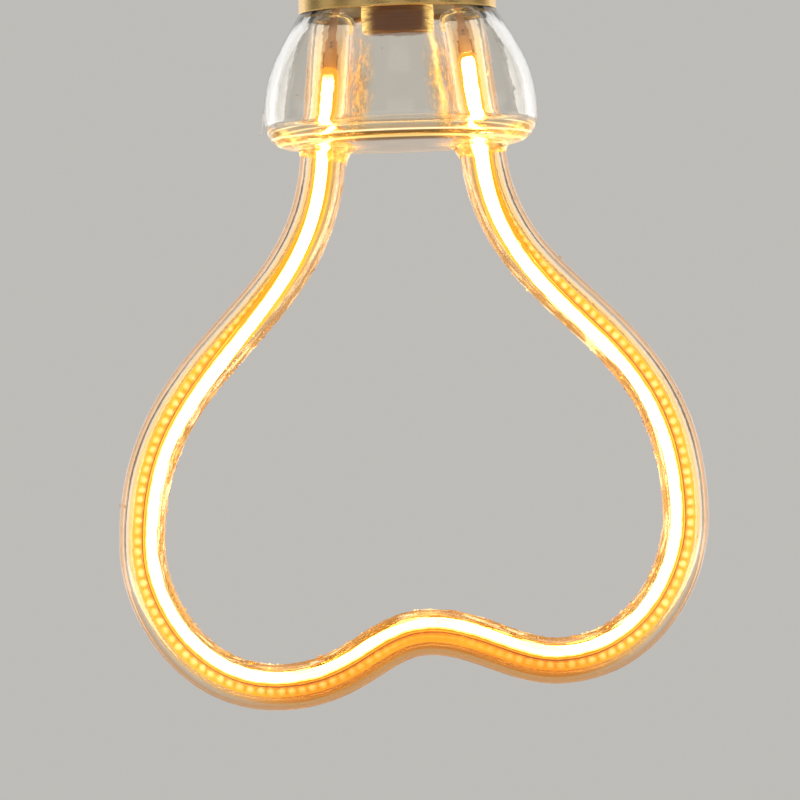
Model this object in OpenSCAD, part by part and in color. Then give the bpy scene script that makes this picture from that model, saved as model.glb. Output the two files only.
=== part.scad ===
// LED filament lamp: a heart-shaped loop of glass tube under a flared glass bell and a screw cap.
// +Z points up out of the cap, the loop hangs in the XZ plane, and the viewer looks along +Y.
// The origin is on the axis at the lower edge of the cap's rim, where metal meets glass.

/* [Cap] */
// Outer diameter of the plain rim below the thread
cap_rim_d = 27.2; // [26.6:0.1:28.5]
// Height of the plain rim
cap_rim_h = 4.4; // [3:0.1:5]
// Outer diameter over the thread's crests
thread_d = 26.2; // [25.8:0.05:26.4]
// Depth of the rounded thread, crest to root
thread_depth = 0.95; // [0.6:0.05:1.2]
// Distance from crest to crest
thread_pitch = 3.629; // [3.4:0.001:3.8]
// Thickness of the shell's sheet brass
shell_wall = 0.35; // [0.25:0.05:0.5]
// Height of the whole cap, from the rim's lower edge to the centre contact
cap_h = 27; // [26:0.1:30]
// Diameter of the opening at the shell's top
shell_mouth_d = 19.6; // [17:0.1:21]
// Diameter of the insulator's top face
insulator_top_d = 12.4; // [11.5:0.1:14]
// Height of the insulator that stands inside the shell
insulator_seat_h = 2; // [1:0.1:3]
// Diameter of the centre contact
contact_d = 9.8; // [8:0.1:11]
// Thickness of the contact's head
contact_t = 1.1; // [0.8:0.1:1.5]
// Inner diameter of the contact's barrel
contact_bore_d = 2.4; // [2:0.1:3]
// Length of the contact's barrel under its head
contact_barrel_h = 2.4; // [1.5:0.1:3]

/* [Glass bell] */
// Outer diameter of the neck inside the cap
neck_d = 22; // [20:0.1:22.6]
// Height of the neck above the cap's rim edge
neck_h = 10; // [8:0.1:12]
// Height at which the neck starts to widen
neck_bend_h = 4.6; // [3.5:0.1:6]
// Largest outer diameter of the bell
bell_d = 37.8; // [34:0.1:42]
// Height of the bell below the cap
bell_h = 18.5; // [16:0.1:22]
// Distance from the cap down to the bell's widest place
bell_widest_drop = 14.6; // [12:0.1:15]
// Outer diameter of the flat part of the floor
bell_floor_d = 30; // [28.5:0.1:32]
// Angle at which the bell leaves the cap, from vertical
bell_flare = 29; // [20:1:40]
// Wall of the bell
bell_wall = 1.4; // [1:0.1:2]
// Thickness of the bell's floor
bell_floor_t = 1.8; // [1.2:0.1:2.5]
// Height of the melted collar where a leg leaves the floor
collar_h = 2.4; // [1.5:0.1:3]
// Spread of the melted collar beyond the leg
collar_spread = 2.2; // [1:0.1:3]
// Thinnest wall of the melted collar, at its lower edge
collar_lip = 0.35; // [0.2:0.05:0.6]

/* [Glass tube] */
// Outer diameter of the bent tube
tube_d = 6.5; // [5.5:0.1:7.5]
// Wall of the bent tube
tube_wall = 0.9; // [0.7:0.1:1.1]
// Height of the tube's two ends above the cap's rim edge
tube_top_h = 0.8; // [0:0.1:2]
// Length of the drawn-in end of the tube
tube_end_l = 3; // [2.2:0.1:4]
// Diameter of the hole that is left round a lead
tube_hole_d = 1.9; // [1.7:0.1:2.4]
// Length of straight leg below the bell's floor
leg_straight = 2.5; // [2:0.1:4]
// Distance of the dimple from the axis, towards the right
dimple_x = 1.5; // [-4:0.1:4]
// Distance from the bell's floor down to the dimple's centreline
dimple_drop = 66.9; // [60:0.1:70]

/* [Left half of the loop] */
// Distance of the left leg from the axis at the bell's floor
left_leg_x = 10.7; // [10:0.1:11.5]
// Lean of the left leg from vertical
left_lean = 6.2; // [4:0.1:9]
// Distance of the widest place of the left lobe from the axis
left_half_w = 37.4; // [32:0.1:42]
// Distance from the floor down to that place
left_widest_drop = 54.3; // [46:0.1:56]
// Distance of the lowest place of the left lobe from the axis
left_low_x = 19.2; // [16:0.1:23]
// Distance from the floor down to that place
left_low_drop = 73.8; // [70:0.1:80]
// How far the leg keeps its direction below the bell
left_leg_hold = 22.8; // [16:0.1:26]
// How far the flank is straight above the widest place
left_flank_hold = 27.3; // [18:0.1:30]
// How far the side of the lobe is straight below the widest place
left_lobe_hold = 8; // [6:0.1:14]
// How far the sole is level outside the lowest place
left_sole_hold = 11.7; // [7:0.1:14]
// How far the sole is level inside the lowest place
left_toe_hold = 10.7; // [4:0.1:12]
// How far the dimple is level beside its middle
left_dimple_hold = 7.3; // [4:0.1:10]

/* [Right half of the loop] */
// Distance of the right leg from the axis at the bell's floor
right_leg_x = 10.9; // [10:0.1:11.5]
// Lean of the right leg from vertical
right_lean = 7.4; // [4:0.1:9]
// Distance of the widest place of the right lobe from the axis
right_half_w = 37.3; // [32:0.1:42]
// Distance from the floor down to that place
right_widest_drop = 51.7; // [46:0.1:56]
// Distance of the lowest place of the right lobe from the axis
right_low_x = 19.1; // [16:0.1:23]
// Distance from the floor down to that place
right_low_drop = 71.4; // [68:0.1:80]
// How far the leg keeps its direction below the bell
right_leg_hold = 21.7; // [16:0.1:26]
// How far the flank is straight above the widest place
right_flank_hold = 28; // [18:0.1:30]
// How far the side of the lobe is straight below the widest place
right_lobe_hold = 8; // [6:0.1:14]
// How far the sole is level outside the lowest place
right_sole_hold = 12.3; // [7:0.1:14]
// How far the sole is level inside the lowest place
right_toe_hold = 5.7; // [4:0.1:11]
// How far the dimple is level beside its middle
right_dimple_hold = 6.5; // [4:0.1:10]

/* [Filament] */
// Width of the flexible film
film_w = 2; // [1.6:0.1:2.6]
// Thickness of the flexible film
film_t = 0.14; // [0.1:0.01:0.2]
// Width of the phosphor bead on the film
phosphor_w = 2.6; // [2.2:0.1:3]
// Height of the bead over the chips
front_phosphor_h = 1.9; // [1.2:0.1:2]
// Height of the bead on the back of the film
back_phosphor_h = 1.3; // [0.6:0.1:1.6]
// Distance from a tube end down to the lit stretch, left
left_dark_l = 8.5; // [7:0.1:10]
// Distance from a tube end down to the lit stretch, right
right_dark_l = 7.3; // [7:0.1:10]
// Length of bare film past the bead
film_tail_l = 1.8; // [1:0.1:2.5]
// Length of one LED chip
chip_l = 0.9; // [0.6:0.05:1]
// Width of one LED chip
chip_w = 0.5; // [0.3:0.05:0.7]
// Thickness of one LED chip
chip_t = 0.25; // [0.15:0.05:0.35]
// Distance from chip to chip
chip_pitch = 1.4; // [1.2:0.05:2.5]
// Turn of the film about its own line at its two ends, where its face is to the viewer
end_twist = 90; // [0:1:90]
// Length of filament over which the turn fades out
twist_l = 42; // [30:1:60]
// Length of lit filament at the left end that keeps the full turn
left_twist_keep_l = 12; // [0:1:20]
// Length of lit filament at the right end that keeps the full turn
right_twist_keep_l = 2; // [0:1:20]

/* [Leads] */
// Width of a metal end tab
tab_w = 1.6; // [1.3:0.1:1.7]
// Length of a metal end tab
tab_l = 3.4; // [2.8:0.1:4]
// Thickness of a tab's sheet
tab_t = 0.15; // [0.1:0.01:0.2]
// Width of a lead strip
lead_w = 1.1; // [0.8:0.1:1.3]
// Thickness of a lead strip
lead_t = 0.15; // [0.1:0.01:0.2]
// Length of lead that lies on its tab
lead_lap = 1.2; // [0.8:0.1:1.4]
// Diameter of a round wire
wire_d = 0.9; // [0.7:0.05:1.2]

/* [Driver] */
// Outer diameter of the moulded cup between the legs
cup_d = 10; // [9:0.1:10.2]
// Reach of the cup below the cap's rim edge
cup_reach = 3.6; // [2:0.1:5]
// Wall of the cup
cup_wall = 0.7; // [0.5:0.1:1]
// Thickness of the cup's flange on the neck
flange_t = 0.9; // [0.7:0.1:1.4]
// Width of the slots in the flange for the leads
slot_w = 3; // [2.4:0.1:4]
// Width of the board above the flange
board_w = 17.6; // [15:0.1:19]
// Height of the board above the flange
board_head_h = 7.6; // [7:0.1:8]
// Width of the board's tail in the cup
board_tail_w = 7.2; // [5:0.1:7.6]
// Thickness of the board
board_t = 1; // [0.8:0.1:1.2]
// Diameter of the smoothing capacitor
capacitor_d = 6.3; // [5:0.1:6.6]
// Length of the smoothing capacitor
capacitor_l = 9; // [7:0.1:11]
// Diameter of the inductor's drum
inductor_d = 4.6; // [4:0.1:5]
// Height of the inductor's drum
inductor_h = 4.2; // [3:0.1:5]
// Diameter of the fuse resistor's body
fuse_d = 2.2; // [1.6:0.1:2.4]
// Length of the fuse resistor's body
fuse_l = 6; // [5:0.1:7]

/* [Hidden] */
$fn = 64;

left = -1;
right = 1;

// Clearance of seated pieces and of sliding pieces, overlap of fused shapes, reach of cuts past a face
seat_gap = 0.03;
slide_gap = 0.05;
eps = 0.01;
over = 1;

// Cap levels and radii
rim_r = cap_rim_d / 2;
crest_r = thread_d / 2;
root_r = crest_r - thread_depth;
thread_turns = 4;
thread_steps = 12;
shell_slope_h = 0.9;
shell_crown_h = 1.3;
crown_edges = [[0.3, 0.5], [0.9, 0]];
thread_z = cap_rim_h + shell_slope_h;
thread_top_z = thread_z + thread_turns * thread_pitch;
shell_top_z = thread_top_z + shell_crown_h;
shell_mouth_r = shell_mouth_d / 2;
insulator_z = shell_top_z - shell_wall - insulator_seat_h;
contact_head_z = cap_h - contact_t;
contact_r = contact_d / 2;
contact_recess = 0.5;
contact_edge = 0.25;
contact_bore_r = contact_bore_d / 2;
barrel_wall = 0.3;
barrel_r = contact_bore_r + barrel_wall;
barrel_z = contact_head_z - contact_barrel_h;
countersink_w = 0.9;
countersink_h = 0.7;
countersink_r = contact_bore_r + countersink_w;
wire_r = wire_d / 2;

// Bell levels and radii, and how far its curves keep their direction
neck_r = neck_d / 2;
neck_bore_r = neck_r - bell_wall;
lip_r = rim_r - shell_wall - 0.2;
lip_h = 0.9;
lip_hold = 1.6;
bell_r = bell_d / 2;
bell_floor_r = bell_floor_d / 2;
bell_steps = 12;
bell_flare_hold = 5;
bell_flank_hold = 7;
bell_bore_hold = 10;
neck_bore_hold = 1.4;
round_hold = 0.56;

// Tube
tube_r = tube_d / 2;
tube_bore_r = tube_r - tube_wall;
tube_hole_r = tube_hole_d / 2;
tube_sides = 18;
tube_end_steps = 3;
tube_shoulder_steps = 20;
strip_shoulder_steps = 30;
lobe_steps = 12;
dip_steps = 9;
leg_steps = 6;

// Filament, with its face at the film's clearance
film_half_t = film_t / 2;
film_face = film_half_t + seat_gap;
chip_room = 0.1;
bead_arc_steps = 6;
tab_outer = film_face + tab_t;
tab_stand = 0.1;

// Board, seated on the flange, with the leads on its front face
flange_z = neck_h + seat_gap;
flange_top_z = flange_z + flange_t;
board_z = flange_top_z + seat_gap;
lead_back_y = -tab_outer - seat_gap;
lead_front_y = lead_back_y - lead_t;
board_front_y = lead_back_y + seat_gap;
board_back_y = board_front_y + board_t;
board_top_z = board_z + board_head_h;
front_y = board_front_y - seat_gap;
back_y = board_back_y + seat_gap;
cup_r = cup_d / 2;
cup_floor_z = -cup_reach + cup_wall;
pad_in = 2.2;
pad_rise = 1.6;
pad_x = board_w / 2 - pad_in;
pad_z = board_z + pad_rise;
joint_r = 0.9;
joint_h = 0.7;
lead_rise = 0.5;
lead_bend_x = 0.3;
lead_bend_drop = 0.6;

// Packages on the board, each with its body's width, thickness and height
rectifier_size = [3.9, 1.5, 4.7];
rectifier_z = board_z - 5;
rectifier_pitch = 2.54;
driver_size = [3.9, 1.4, 4.9];
driver_z = cup_floor_z + 2.8;
driver_pitch = 1.27;
film_capacitor_size = [5, 3.6, 2];

// Wires: the live one ends in the contact's solder, the neutral one in solder on the shell's inner side
wire_y = board_front_y - wire_r - 0.1;
wire_sides = 8;
wire_steps = 8;
solder_z = barrel_z + 0.4;
live_bottom_z = board_top_z - 1.6;
live_top_z = solder_z + 1.4;
live_low_hold = 4.5;
live_high_hold = 3;
neutral_z = thread_z + 3 * thread_pitch;
neutral_drop = 1.2;
neutral_hold = 1.6;
neutral_start_x = board_w / 2 - 2.4;
bead_r = 1.1;
bead_l = 0.9;
bead_sink = 0.3;
bead_x = root_r - shell_wall - 0.2;

// Point and heading on a cubic curve with four control points
function cubic(p, t) =
  pow(1 - t, 3) * p[0] + 3 * pow(1 - t, 2) * t * p[1] + 3 * (1 - t) * pow(t, 2) * p[2] + pow(t, 3) * p[3];
function cubic_heading(p, t) =
  unit(pow(1 - t, 2) * (p[1] - p[0]) + 2 * (1 - t) * t * (p[2] - p[1]) + pow(t, 2) * (p[3] - p[2]));
function unit(v) = v / norm(v);
function smooth(t) = let (c = min(1, max(0, t))) c * c * (3 - 2 * c);
function sided(side, a, b) = side == left ? a : b;
function backwards(list) = [for (i = [len(list) - 1:-1:0]) list[i]];

// A station is [x, z, heading x, heading z] on a line in the XZ plane
function station(point, heading) = [point[0], point[1], heading[0], heading[1]];
function turned(s) = [s[0], s[1], -s[2], -s[3]];
function curve_stations(p, steps) = [for (i = [0:steps - 1])
  let (t = i / steps) station(cubic(p, t), cubic_heading(p, t))];

// The leg is straight from the tube's end to a foot just below the bell's floor
function lean(side) = sided(side, left_lean, right_lean);
function leg_x(side) = sided(side, left_leg_x, right_leg_x);
function leg_heading(side) = [side * sin(lean(side)), -cos(lean(side))];
function leg_at(side, z) = [side * (leg_x(side) - (z + bell_h) * tan(lean(side))), z];
function leg_down(side, from_end) =
  station(leg_at(side, tube_top_h) + from_end * leg_heading(side), leg_heading(side));

// Each half runs from the foot through its widest and lowest places to the dimple
function foot(side) = leg_at(side, -bell_h - leg_straight);
function widest(side) =
  [side * sided(side, left_half_w, right_half_w), -bell_h - sided(side, left_widest_drop, right_widest_drop)];
function lowest(side) =
  [side * sided(side, left_low_x, right_low_x), -bell_h - sided(side, left_low_drop, right_low_drop)];
dimple = [dimple_x, -bell_h - dimple_drop];
function shoulder(side) = [
  foot(side),
  foot(side) + sided(side, left_leg_hold, right_leg_hold) * leg_heading(side),
  widest(side) + [0, sided(side, left_flank_hold, right_flank_hold)],
  widest(side)
];
function lobe(side) = [
  widest(side),
  widest(side) - [0, sided(side, left_lobe_hold, right_lobe_hold)],
  lowest(side) + [side * sided(side, left_sole_hold, right_sole_hold), 0],
  lowest(side)
];
function dip(side) = [
  lowest(side),
  lowest(side) - [side * sided(side, left_toe_hold, right_toe_hold), 0],
  dimple + [side * sided(side, left_dimple_hold, right_dimple_hold), 0],
  dimple
];
function half(side, shoulder_steps) = concat(
  curve_stations(shoulder(side), shoulder_steps),
  curve_stations(lobe(side), lobe_steps),
  curve_stations(dip(side), dip_steps)
);
function rising(stations) = [for (s = backwards(stations)) turned(s)];

// The whole line from foot to foot, left to right
function heart(shoulder_steps) =
  concat(half(left, shoulder_steps), [station(dimple, [1, 0])], rising(half(right, shoulder_steps)));

// Frame of a station: x to the loop's inside, y to the viewer, z along the line, then a turn about z
module at_station(s, turn = 0) {
  translate([s[0], 0, s[1]]) rotate([0, atan2(s[2], s[3]), 0]) rotate([0, 0, 180 + turn]) children();
}
function placed(s, turn, q) =
  let (n = q[0] * cos(turn) - q[1] * sin(turn), b = q[0] * sin(turn) + q[1] * cos(turn))
  [s[0] - n * s[3], -b, s[1] + n * s[2]];

// Side faces between n rings of m points, each four-cornered face split on one diagonal or the other
function side_faces(n, m, other = false) = [
  for (i = [0:n - 2]) for (k = [0:m - 1])
    let (a = i * m + k, b = i * m + (k + 1) % m)
    for (f = other ? [[a, a + m, b], [b, a + m, b + m]] : [[a, a + m, b + m], [a, b + m, b]]) f
];

// A section carried along stations, with a turn at each; cap_faces closes the section's two ends
module swept(section, stations, turns, cap_faces, other = false) {
  n = len(stations);
  m = len(section);
  points = [for (i = [0:n - 1]) for (q = section) placed(stations[i], turns[i], q)];
  finish = [for (f = cap_faces) [for (k = backwards(f)) k + (n - 1) * m]];
  polyhedron(points = points, faces = concat(side_faces(n, m, other), cap_faces, finish));
}

// Lengths run along a line of stations
function run(stations) = [
  for (i = 0, s = 0; i < len(stations);
    s = s + (i + 1 < len(stations) ? norm(spot(stations[i + 1]) - spot(stations[i])) : 0), i = i + 1) s
];
function spot(s) = [s[0], s[1]];

// The lit line: from the left leg round the heart and up the right leg
function dark_l(side) = sided(side, left_dark_l, right_dark_l);
function leg_l(side) = (tube_top_h + bell_h + leg_straight) / cos(lean(side));
function leg_line(side, from_end) = [for (i = [0:leg_steps - 1])
  leg_down(side, from_end + i / leg_steps * (leg_l(side) - from_end))];
lit_line = concat(
  leg_line(left, dark_l(left)),
  heart(strip_shoulder_steps),
  rising(leg_line(right, dark_l(right)))
);
lit_run = run(lit_line);
lit_l = lit_run[len(lit_run) - 1];
function fade(from_end, keep) = 1 - smooth((from_end - keep) / twist_l);
function twist_at(s) = end_twist * (fade(s, left_twist_keep_l) + fade(lit_l - s, right_twist_keep_l));
lit_twists = [for (s = lit_run) twist_at(s)];

// Looks a place on the lit line up by its length from the left end
function column(k) = [for (i = [0:len(lit_line) - 1]) [lit_run[i], lit_line[i][k]]];
lit_x = column(0);
lit_z = column(1);
lit_hx = column(2);
lit_hz = column(3);
function lit_at(s) =
  station([lookup(s, lit_x), lookup(s, lit_z)], unit([lookup(s, lit_hx), lookup(s, lit_hz)]));

// Cap

// Radius of the rolled thread's outer face at a height
function thread_r(z) = (crest_r + root_r) / 2 - thread_depth / 2 * cos(360 * (z - thread_z) / thread_pitch);

function shell_side(inset) = concat(
  [[rim_r - inset, 0], [rim_r - inset, cap_rim_h]],
  [for (i = [0:thread_turns * thread_steps])
    let (z = thread_z + i * thread_pitch / thread_steps) [thread_r(z) - inset, z]],
  [for (e = crown_edges) [root_r - e[0] - inset, shell_top_z - e[1] - inset]]
);

module screw_shell() {
  color("goldenrod")
    rotate_extrude()
      polygon(concat(
        shell_side(0),
        [[shell_mouth_r, shell_top_z], [shell_mouth_r, shell_top_z - shell_wall]],
        backwards(shell_side(shell_wall))
      ));
}

module cap_insulator() {
  waist_r = shell_mouth_r - slide_gap;
  waist_z = shell_top_z + 0.3;
  base_r = shell_mouth_r + 1;
  seat_z = shell_top_z - shell_wall - seat_gap;
  top_r = insulator_top_d / 2;
  top_z = contact_head_z + contact_recess;
  edge = [0.4, 0.9];
  color("#1b1b1d")
    difference() {
      rotate_extrude()
        polygon([
          [0, insulator_z], [base_r, insulator_z], [base_r, seat_z], [waist_r, seat_z],
          [waist_r, waist_z], [top_r + edge[0], top_z - edge[1]], [top_r, top_z], [0, top_z]
        ]);
      translate([0, 0, contact_head_z - seat_gap])
        cylinder(r = contact_r + slide_gap, h = contact_recess + over);
      translate([0, 0, insulator_z - over]) cylinder(r = barrel_r + slide_gap, h = cap_h - insulator_z);
    }
}

module centre_contact() {
  color("#c9a24b")
    rotate_extrude()
      polygon([
        [contact_bore_r, barrel_z], [barrel_r, barrel_z], [barrel_r, contact_head_z],
        [contact_r, contact_head_z], [contact_r, cap_h - contact_edge], [contact_r - contact_edge, cap_h],
        [countersink_r, cap_h], [contact_bore_r, cap_h - countersink_h]
      ]);
}

// A plug that fills the eyelet and its countersink, a little below the contact's face
module centre_solder() {
  plug_r = contact_bore_r - seat_gap;
  face_z = cap_h - 0.12;
  edge = [0.5, 0.1];
  edge_r = countersink_r - 0.4;
  color("#b8bcc0")
    difference() {
      rotate_extrude()
        polygon([
          [0, solder_z], [plug_r, solder_z], [plug_r, cap_h - countersink_h],
          [edge_r, face_z - edge[1]], [edge_r - edge[0], face_z], [0, face_z]
        ]);
      translate([0, 0, solder_z - over])
        cylinder(r = wire_r + slide_gap, h = live_top_z + slide_gap - solder_z + over);
    }
}

// Fills the room between the glass neck and the shell, above the lip
module cap_cement() {
  low_z = lip_h + 0.6;
  high_z = neck_h - 0.6;
  rim_in = rim_r - shell_wall - seat_gap;
  root_in = root_r - shell_wall - seat_gap;
  glass_r = neck_r + seat_gap;
  color("#cfc6b0")
    rotate_extrude()
      difference() {
        polygon([
          [glass_r, low_z], [rim_in, low_z], [rim_in, cap_rim_h - 0.4], [root_in, thread_z - 0.2],
          [root_in, high_z], [glass_r, high_z]
        ]);
        neck_clearance();
      }
}

// Glass bell

// Outer face of the neck from the top down to the lip that the cap's rim stands on
function neck_side() = concat(
  [[neck_r, neck_h]],
  [for (i = [0:bell_steps]) cubic([
    [neck_r, neck_bend_h],
    [neck_r, neck_bend_h - lip_hold],
    [lip_r, lip_h + lip_hold],
    [lip_r, lip_h]], i / bell_steps)],
  [[lip_r, -slide_gap]]
);
// Outer face of the bell from the cap's rim down to the flat floor
function bell_side() = concat(
  [for (i = [0:bell_steps]) cubic([
    [rim_r, -slide_gap],
    [rim_r, -slide_gap] + bell_flare_hold * [sin(bell_flare), -cos(bell_flare)],
    [bell_r, bell_flank_hold - bell_widest_drop],
    [bell_r, -bell_widest_drop]], i / bell_steps)],
  [for (i = [1:bell_steps]) cubic([
    [bell_r, -bell_widest_drop],
    [bell_r, -bell_widest_drop - round_hold * (bell_h - bell_widest_drop)],
    [bell_floor_r + round_hold * (bell_r - bell_floor_r), -bell_h],
    [bell_floor_r, -bell_h]], i / bell_steps)]
);
// Inner face from the floor up to the neck's top
function bell_inside() =
  let (
    floor_r = bell_floor_r - 0.6,
    floor_z = -bell_h + bell_floor_t,
    side_r = bell_r - bell_wall,
    side_z = -bell_widest_drop,
    neck_z = neck_bend_h - 1
  )
  concat(
    [[0, floor_z]],
    [for (i = [0:bell_steps]) cubic([
      [floor_r, floor_z],
      [floor_r + round_hold * (side_r - floor_r), floor_z],
      [side_r, side_z - round_hold * (side_z - floor_z)],
      [side_r, side_z]], i / bell_steps)],
    [for (i = [1:bell_steps]) cubic([
      [side_r, side_z],
      [side_r, side_z + bell_bore_hold],
      [neck_bore_r, neck_z - neck_bore_hold],
      [neck_bore_r, neck_z]], i / bell_steps)],
    [[neck_bore_r, neck_h]]
  );

module neck_clearance() {
  polygon(concat([[0, neck_h], [0, -slide_gap]], backwards([for (p = neck_side()) p + [seat_gap, 0]])));
}

module leg_axis(side, z) {
  p = leg_at(side, z);
  translate([p[0], 0, p[1]]) rotate([0, -side * lean(side), 0]) mirror([0, 0, 1]) children();
}

// Ring of glass under the floor round a leg, its hollow flank a quarter of an ellipse
module collar(side) {
  sink = bell_floor_t / 2;
  lip_r = tube_r + slide_gap + collar_lip;
  middle = leg_at(side, -bell_h - collar_h / 2);
  translate([middle[0], 0, sink - bell_h]) mirror([0, 0, 1])
    rotate_extrude()
      polygon(concat(
        [[0, 0], [lip_r + collar_spread, 0]],
        [for (a = [0:15:90]) [lip_r + collar_spread * (1 - sin(a)), sink + collar_h * (1 - cos(a))]],
        [[0, sink + collar_h]]
      ));
}

module glass_bell() {
  color("white", 0.35)
    difference() {
      union() {
        rotate_extrude()
          polygon(concat(neck_side(), bell_side(), [[0, -bell_h]], bell_inside()));
        collar(left);
        collar(right);
      }
      for (side = [left, right])
        leg_axis(side, bell_floor_t + over - bell_h)
          cylinder(r = tube_r + slide_gap, h = bell_floor_t + collar_h + 2 * over);
    }
}

// Glass tube

function ring(s, r) = [for (k = [0:tube_sides - 1])
  let (a = (k + 0.5) * 360 / tube_sides) placed(s, 0, [r * cos(a), r * sin(a)])];
// Rings of the drawn-in end, each [distance from the end, radius], from the hole to the full tube
function end_rings(r, face) = [for (i = [0:tube_end_steps])
  let (a = 90 - i * 90 / tube_end_steps)
  [face + (tube_end_l - face) * (1 - sin(a)), tube_hole_r + (r - tube_hole_r) * cos(a)]];
// One skin from the left end to the right end
function skin(r, face) = concat(
  [for (e = end_rings(r, face)) ring(leg_down(left, e[0]), e[1])],
  [for (s = heart(tube_shoulder_steps)) ring(s, r)],
  [for (e = backwards(end_rings(r, face))) ring(turned(leg_down(right, e[0])), e[1])]
);

module glass_loop() {
  rings = concat(skin(tube_r, 0), backwards(skin(tube_bore_r, tube_wall)));
  n = len(rings);
  points = [for (loop = rings) for (p = loop) p];
  last = (n - 1) * tube_sides;
  closing = [
    for (k = [0:tube_sides - 1])
      let (a = last + k, b = last + (k + 1) % tube_sides, c = k, d = (k + 1) % tube_sides)
      for (f = [[a, c, d], [a, d, b]]) f
  ];
  color("white", 0.35) polyhedron(points = points, faces = concat(side_faces(n, tube_sides), closing));
}

// Filament

// The film has the bead's stations and runs on past them at both ends
module filament_film() {
  line = concat(
    [leg_down(left, dark_l(left) - film_tail_l)],
    lit_line,
    [turned(leg_down(right, dark_l(right) - film_tail_l))]
  );
  turns = concat([end_twist], lit_twists, [end_twist]);
  section = [for (face = [1, -1]) for (edge = [-1, 0, 1]) [face * film_half_t, face * edge * film_w / 2]];
  color("#c77a1c") swept(section, line, turns, [[0, 1, 4, 5], [1, 2, 3, 4]], other = true);
}

chip_count = floor((lit_l - chip_pitch) / chip_pitch);
chip_start = (lit_l - (chip_count - 1) * chip_pitch) / 2;

module led_chips() {
  color("#ffe9a8")
    for (i = [0:chip_count - 1]) {
      s = chip_start + i * chip_pitch;
      at_station(lit_at(s), twist_at(s))
        translate([film_face + seat_gap + chip_t / 2, 0, 0]) cube([chip_t, chip_w, chip_l], center = true);
    }
}

// Domed bead with a channel for the chips along its flat face
function front_section() = let (h = film_face + chip_t + chip_room, c = chip_w / 2 + chip_room) concat(
  [for (i = [0:bead_arc_steps])
    let (a = -90 + i * 180 / bead_arc_steps)
    [film_face + front_phosphor_h * cos(a), phosphor_w / 2 * sin(a)]],
  [[film_face, c], [h, c], [h, -c], [film_face, -c]]
);
function back_section() = concat(
  [for (i = [0:bead_arc_steps])
    let (a = 90 + i * 180 / bead_arc_steps)
    [-film_face + back_phosphor_h * cos(a), phosphor_w / 2 * sin(a)]],
  [[-film_face, 0]]
);

module front_phosphor() {
  color("#ffc63a")
    swept(front_section(), lit_line, lit_twists,
      [[0, 1, 9, 10], [1, 2, 3, 9], [3, 8, 9], [3, 4, 5, 8], [5, 6, 7, 8]]);
}

module back_phosphor() {
  color("#f2a826") swept(back_section(), lit_line, lit_twists, [[for (i = [0:bead_arc_steps + 1]) i]]);
}

// Leads

// A tab is a folded clip over the film's tail, and stands a little clear of the bead
function tab_low(side) = dark_l(side) - tab_stand;
function tab_high(side) = tab_low(side) - tab_l;

module end_tab(side) {
  color("#b9b4a8")
    at_station(leg_down(side, tab_low(side)), end_twist)
      mirror([0, 0, 1])
        difference() {
          translate([-tab_outer, -tab_w / 2, 0]) cube([2 * tab_outer, tab_w, tab_l]);
          translate([-film_face, -tab_w, -over])
            cube([2 * film_face, 2 * tab_w, film_tail_l + over + seat_gap]);
        }
}

module left_end_tab() {
  end_tab(left);
}

module right_end_tab() {
  end_tab(right);
}

// Point beside a line of points, at half a strip's width across it, mitred where the line bends
function across(points, i) = let (h = unit(points[i + 1] - points[i])) [-h[1], h[0]];
function beside(points, i, w) =
  let (
    before = across(points, max(i - 1, 0)),
    after = across(points, min(i, len(points) - 2)),
    mitre = unit(before + after)
  )
  points[i] + w / 2 / (mitre * before) * mitre;

// A flat strip along points in the XZ plane, with its back at y
module ribbon(points, w, t, y) {
  ids = [0:len(points) - 1];
  translate([0, y, 0]) rotate([90, 0, 0]) linear_extrude(t)
    polygon(concat([for (i = ids) beside(points, i, w)], backwards([for (i = ids) beside(points, i, -w)])));
}

// From the lap on the tab, out of the tube's end and across to a pad at the board's lower corner
function lead_route(side, grow) = [
  spot(leg_down(side, tab_high(side) + lead_lap)),
  spot(leg_down(side, -lead_rise)),
  [side * (pad_x + lead_bend_x), board_z - lead_bend_drop],
  [side * pad_x, pad_z + grow]
];

module lead(side, grow = 0) {
  ribbon(lead_route(side, grow), lead_w + 2 * grow, lead_t + 2 * grow, lead_back_y + grow);
}

module left_lead() {
  color("#c8a070") lead(left);
}

module right_lead() {
  color("#c8a070") lead(right);
}

// Two spot-weld nuggets on the lap
module weld(side) {
  nugget_r = 0.22;
  nugget_h = 0.08;
  color("#8f8578")
    for (part = [0.3, 0.7]) {
      p = spot(leg_down(side, tab_high(side) + part * lead_lap));
      translate([p[0], lead_front_y - seat_gap / 3, p[1]]) rotate([90, 0, 0])
        cylinder(r = nugget_r, h = nugget_h);
    }
}

module left_weld() {
  weld(left);
}

module right_weld() {
  weld(right);
}

// Driver

// A cup between the legs, with a flange that sits on the glass neck and is slotted for the leads
module driver_cup() {
  bore_r = cup_r - cup_wall;
  edge = 0.5;
  slot_room = 0.6;
  color("#3a2a1c")
    difference() {
      rotate_extrude()
        polygon([
          [0, -cup_reach], [cup_r - edge, -cup_reach], [cup_r, -cup_reach + edge], [cup_r, flange_z],
          [neck_r, flange_z], [neck_r, flange_top_z], [bore_r, flange_top_z], [bore_r, cup_floor_z],
          [0, cup_floor_z]
        ]);
      for (side = [left, right])
        translate([side * (pad_x + 0.6) - slot_w / 2, lead_front_y - slot_room, flange_z - over])
          cube([slot_w, lead_t + 2 * slot_room, flange_t + 2 * over]);
    }
}

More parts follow.
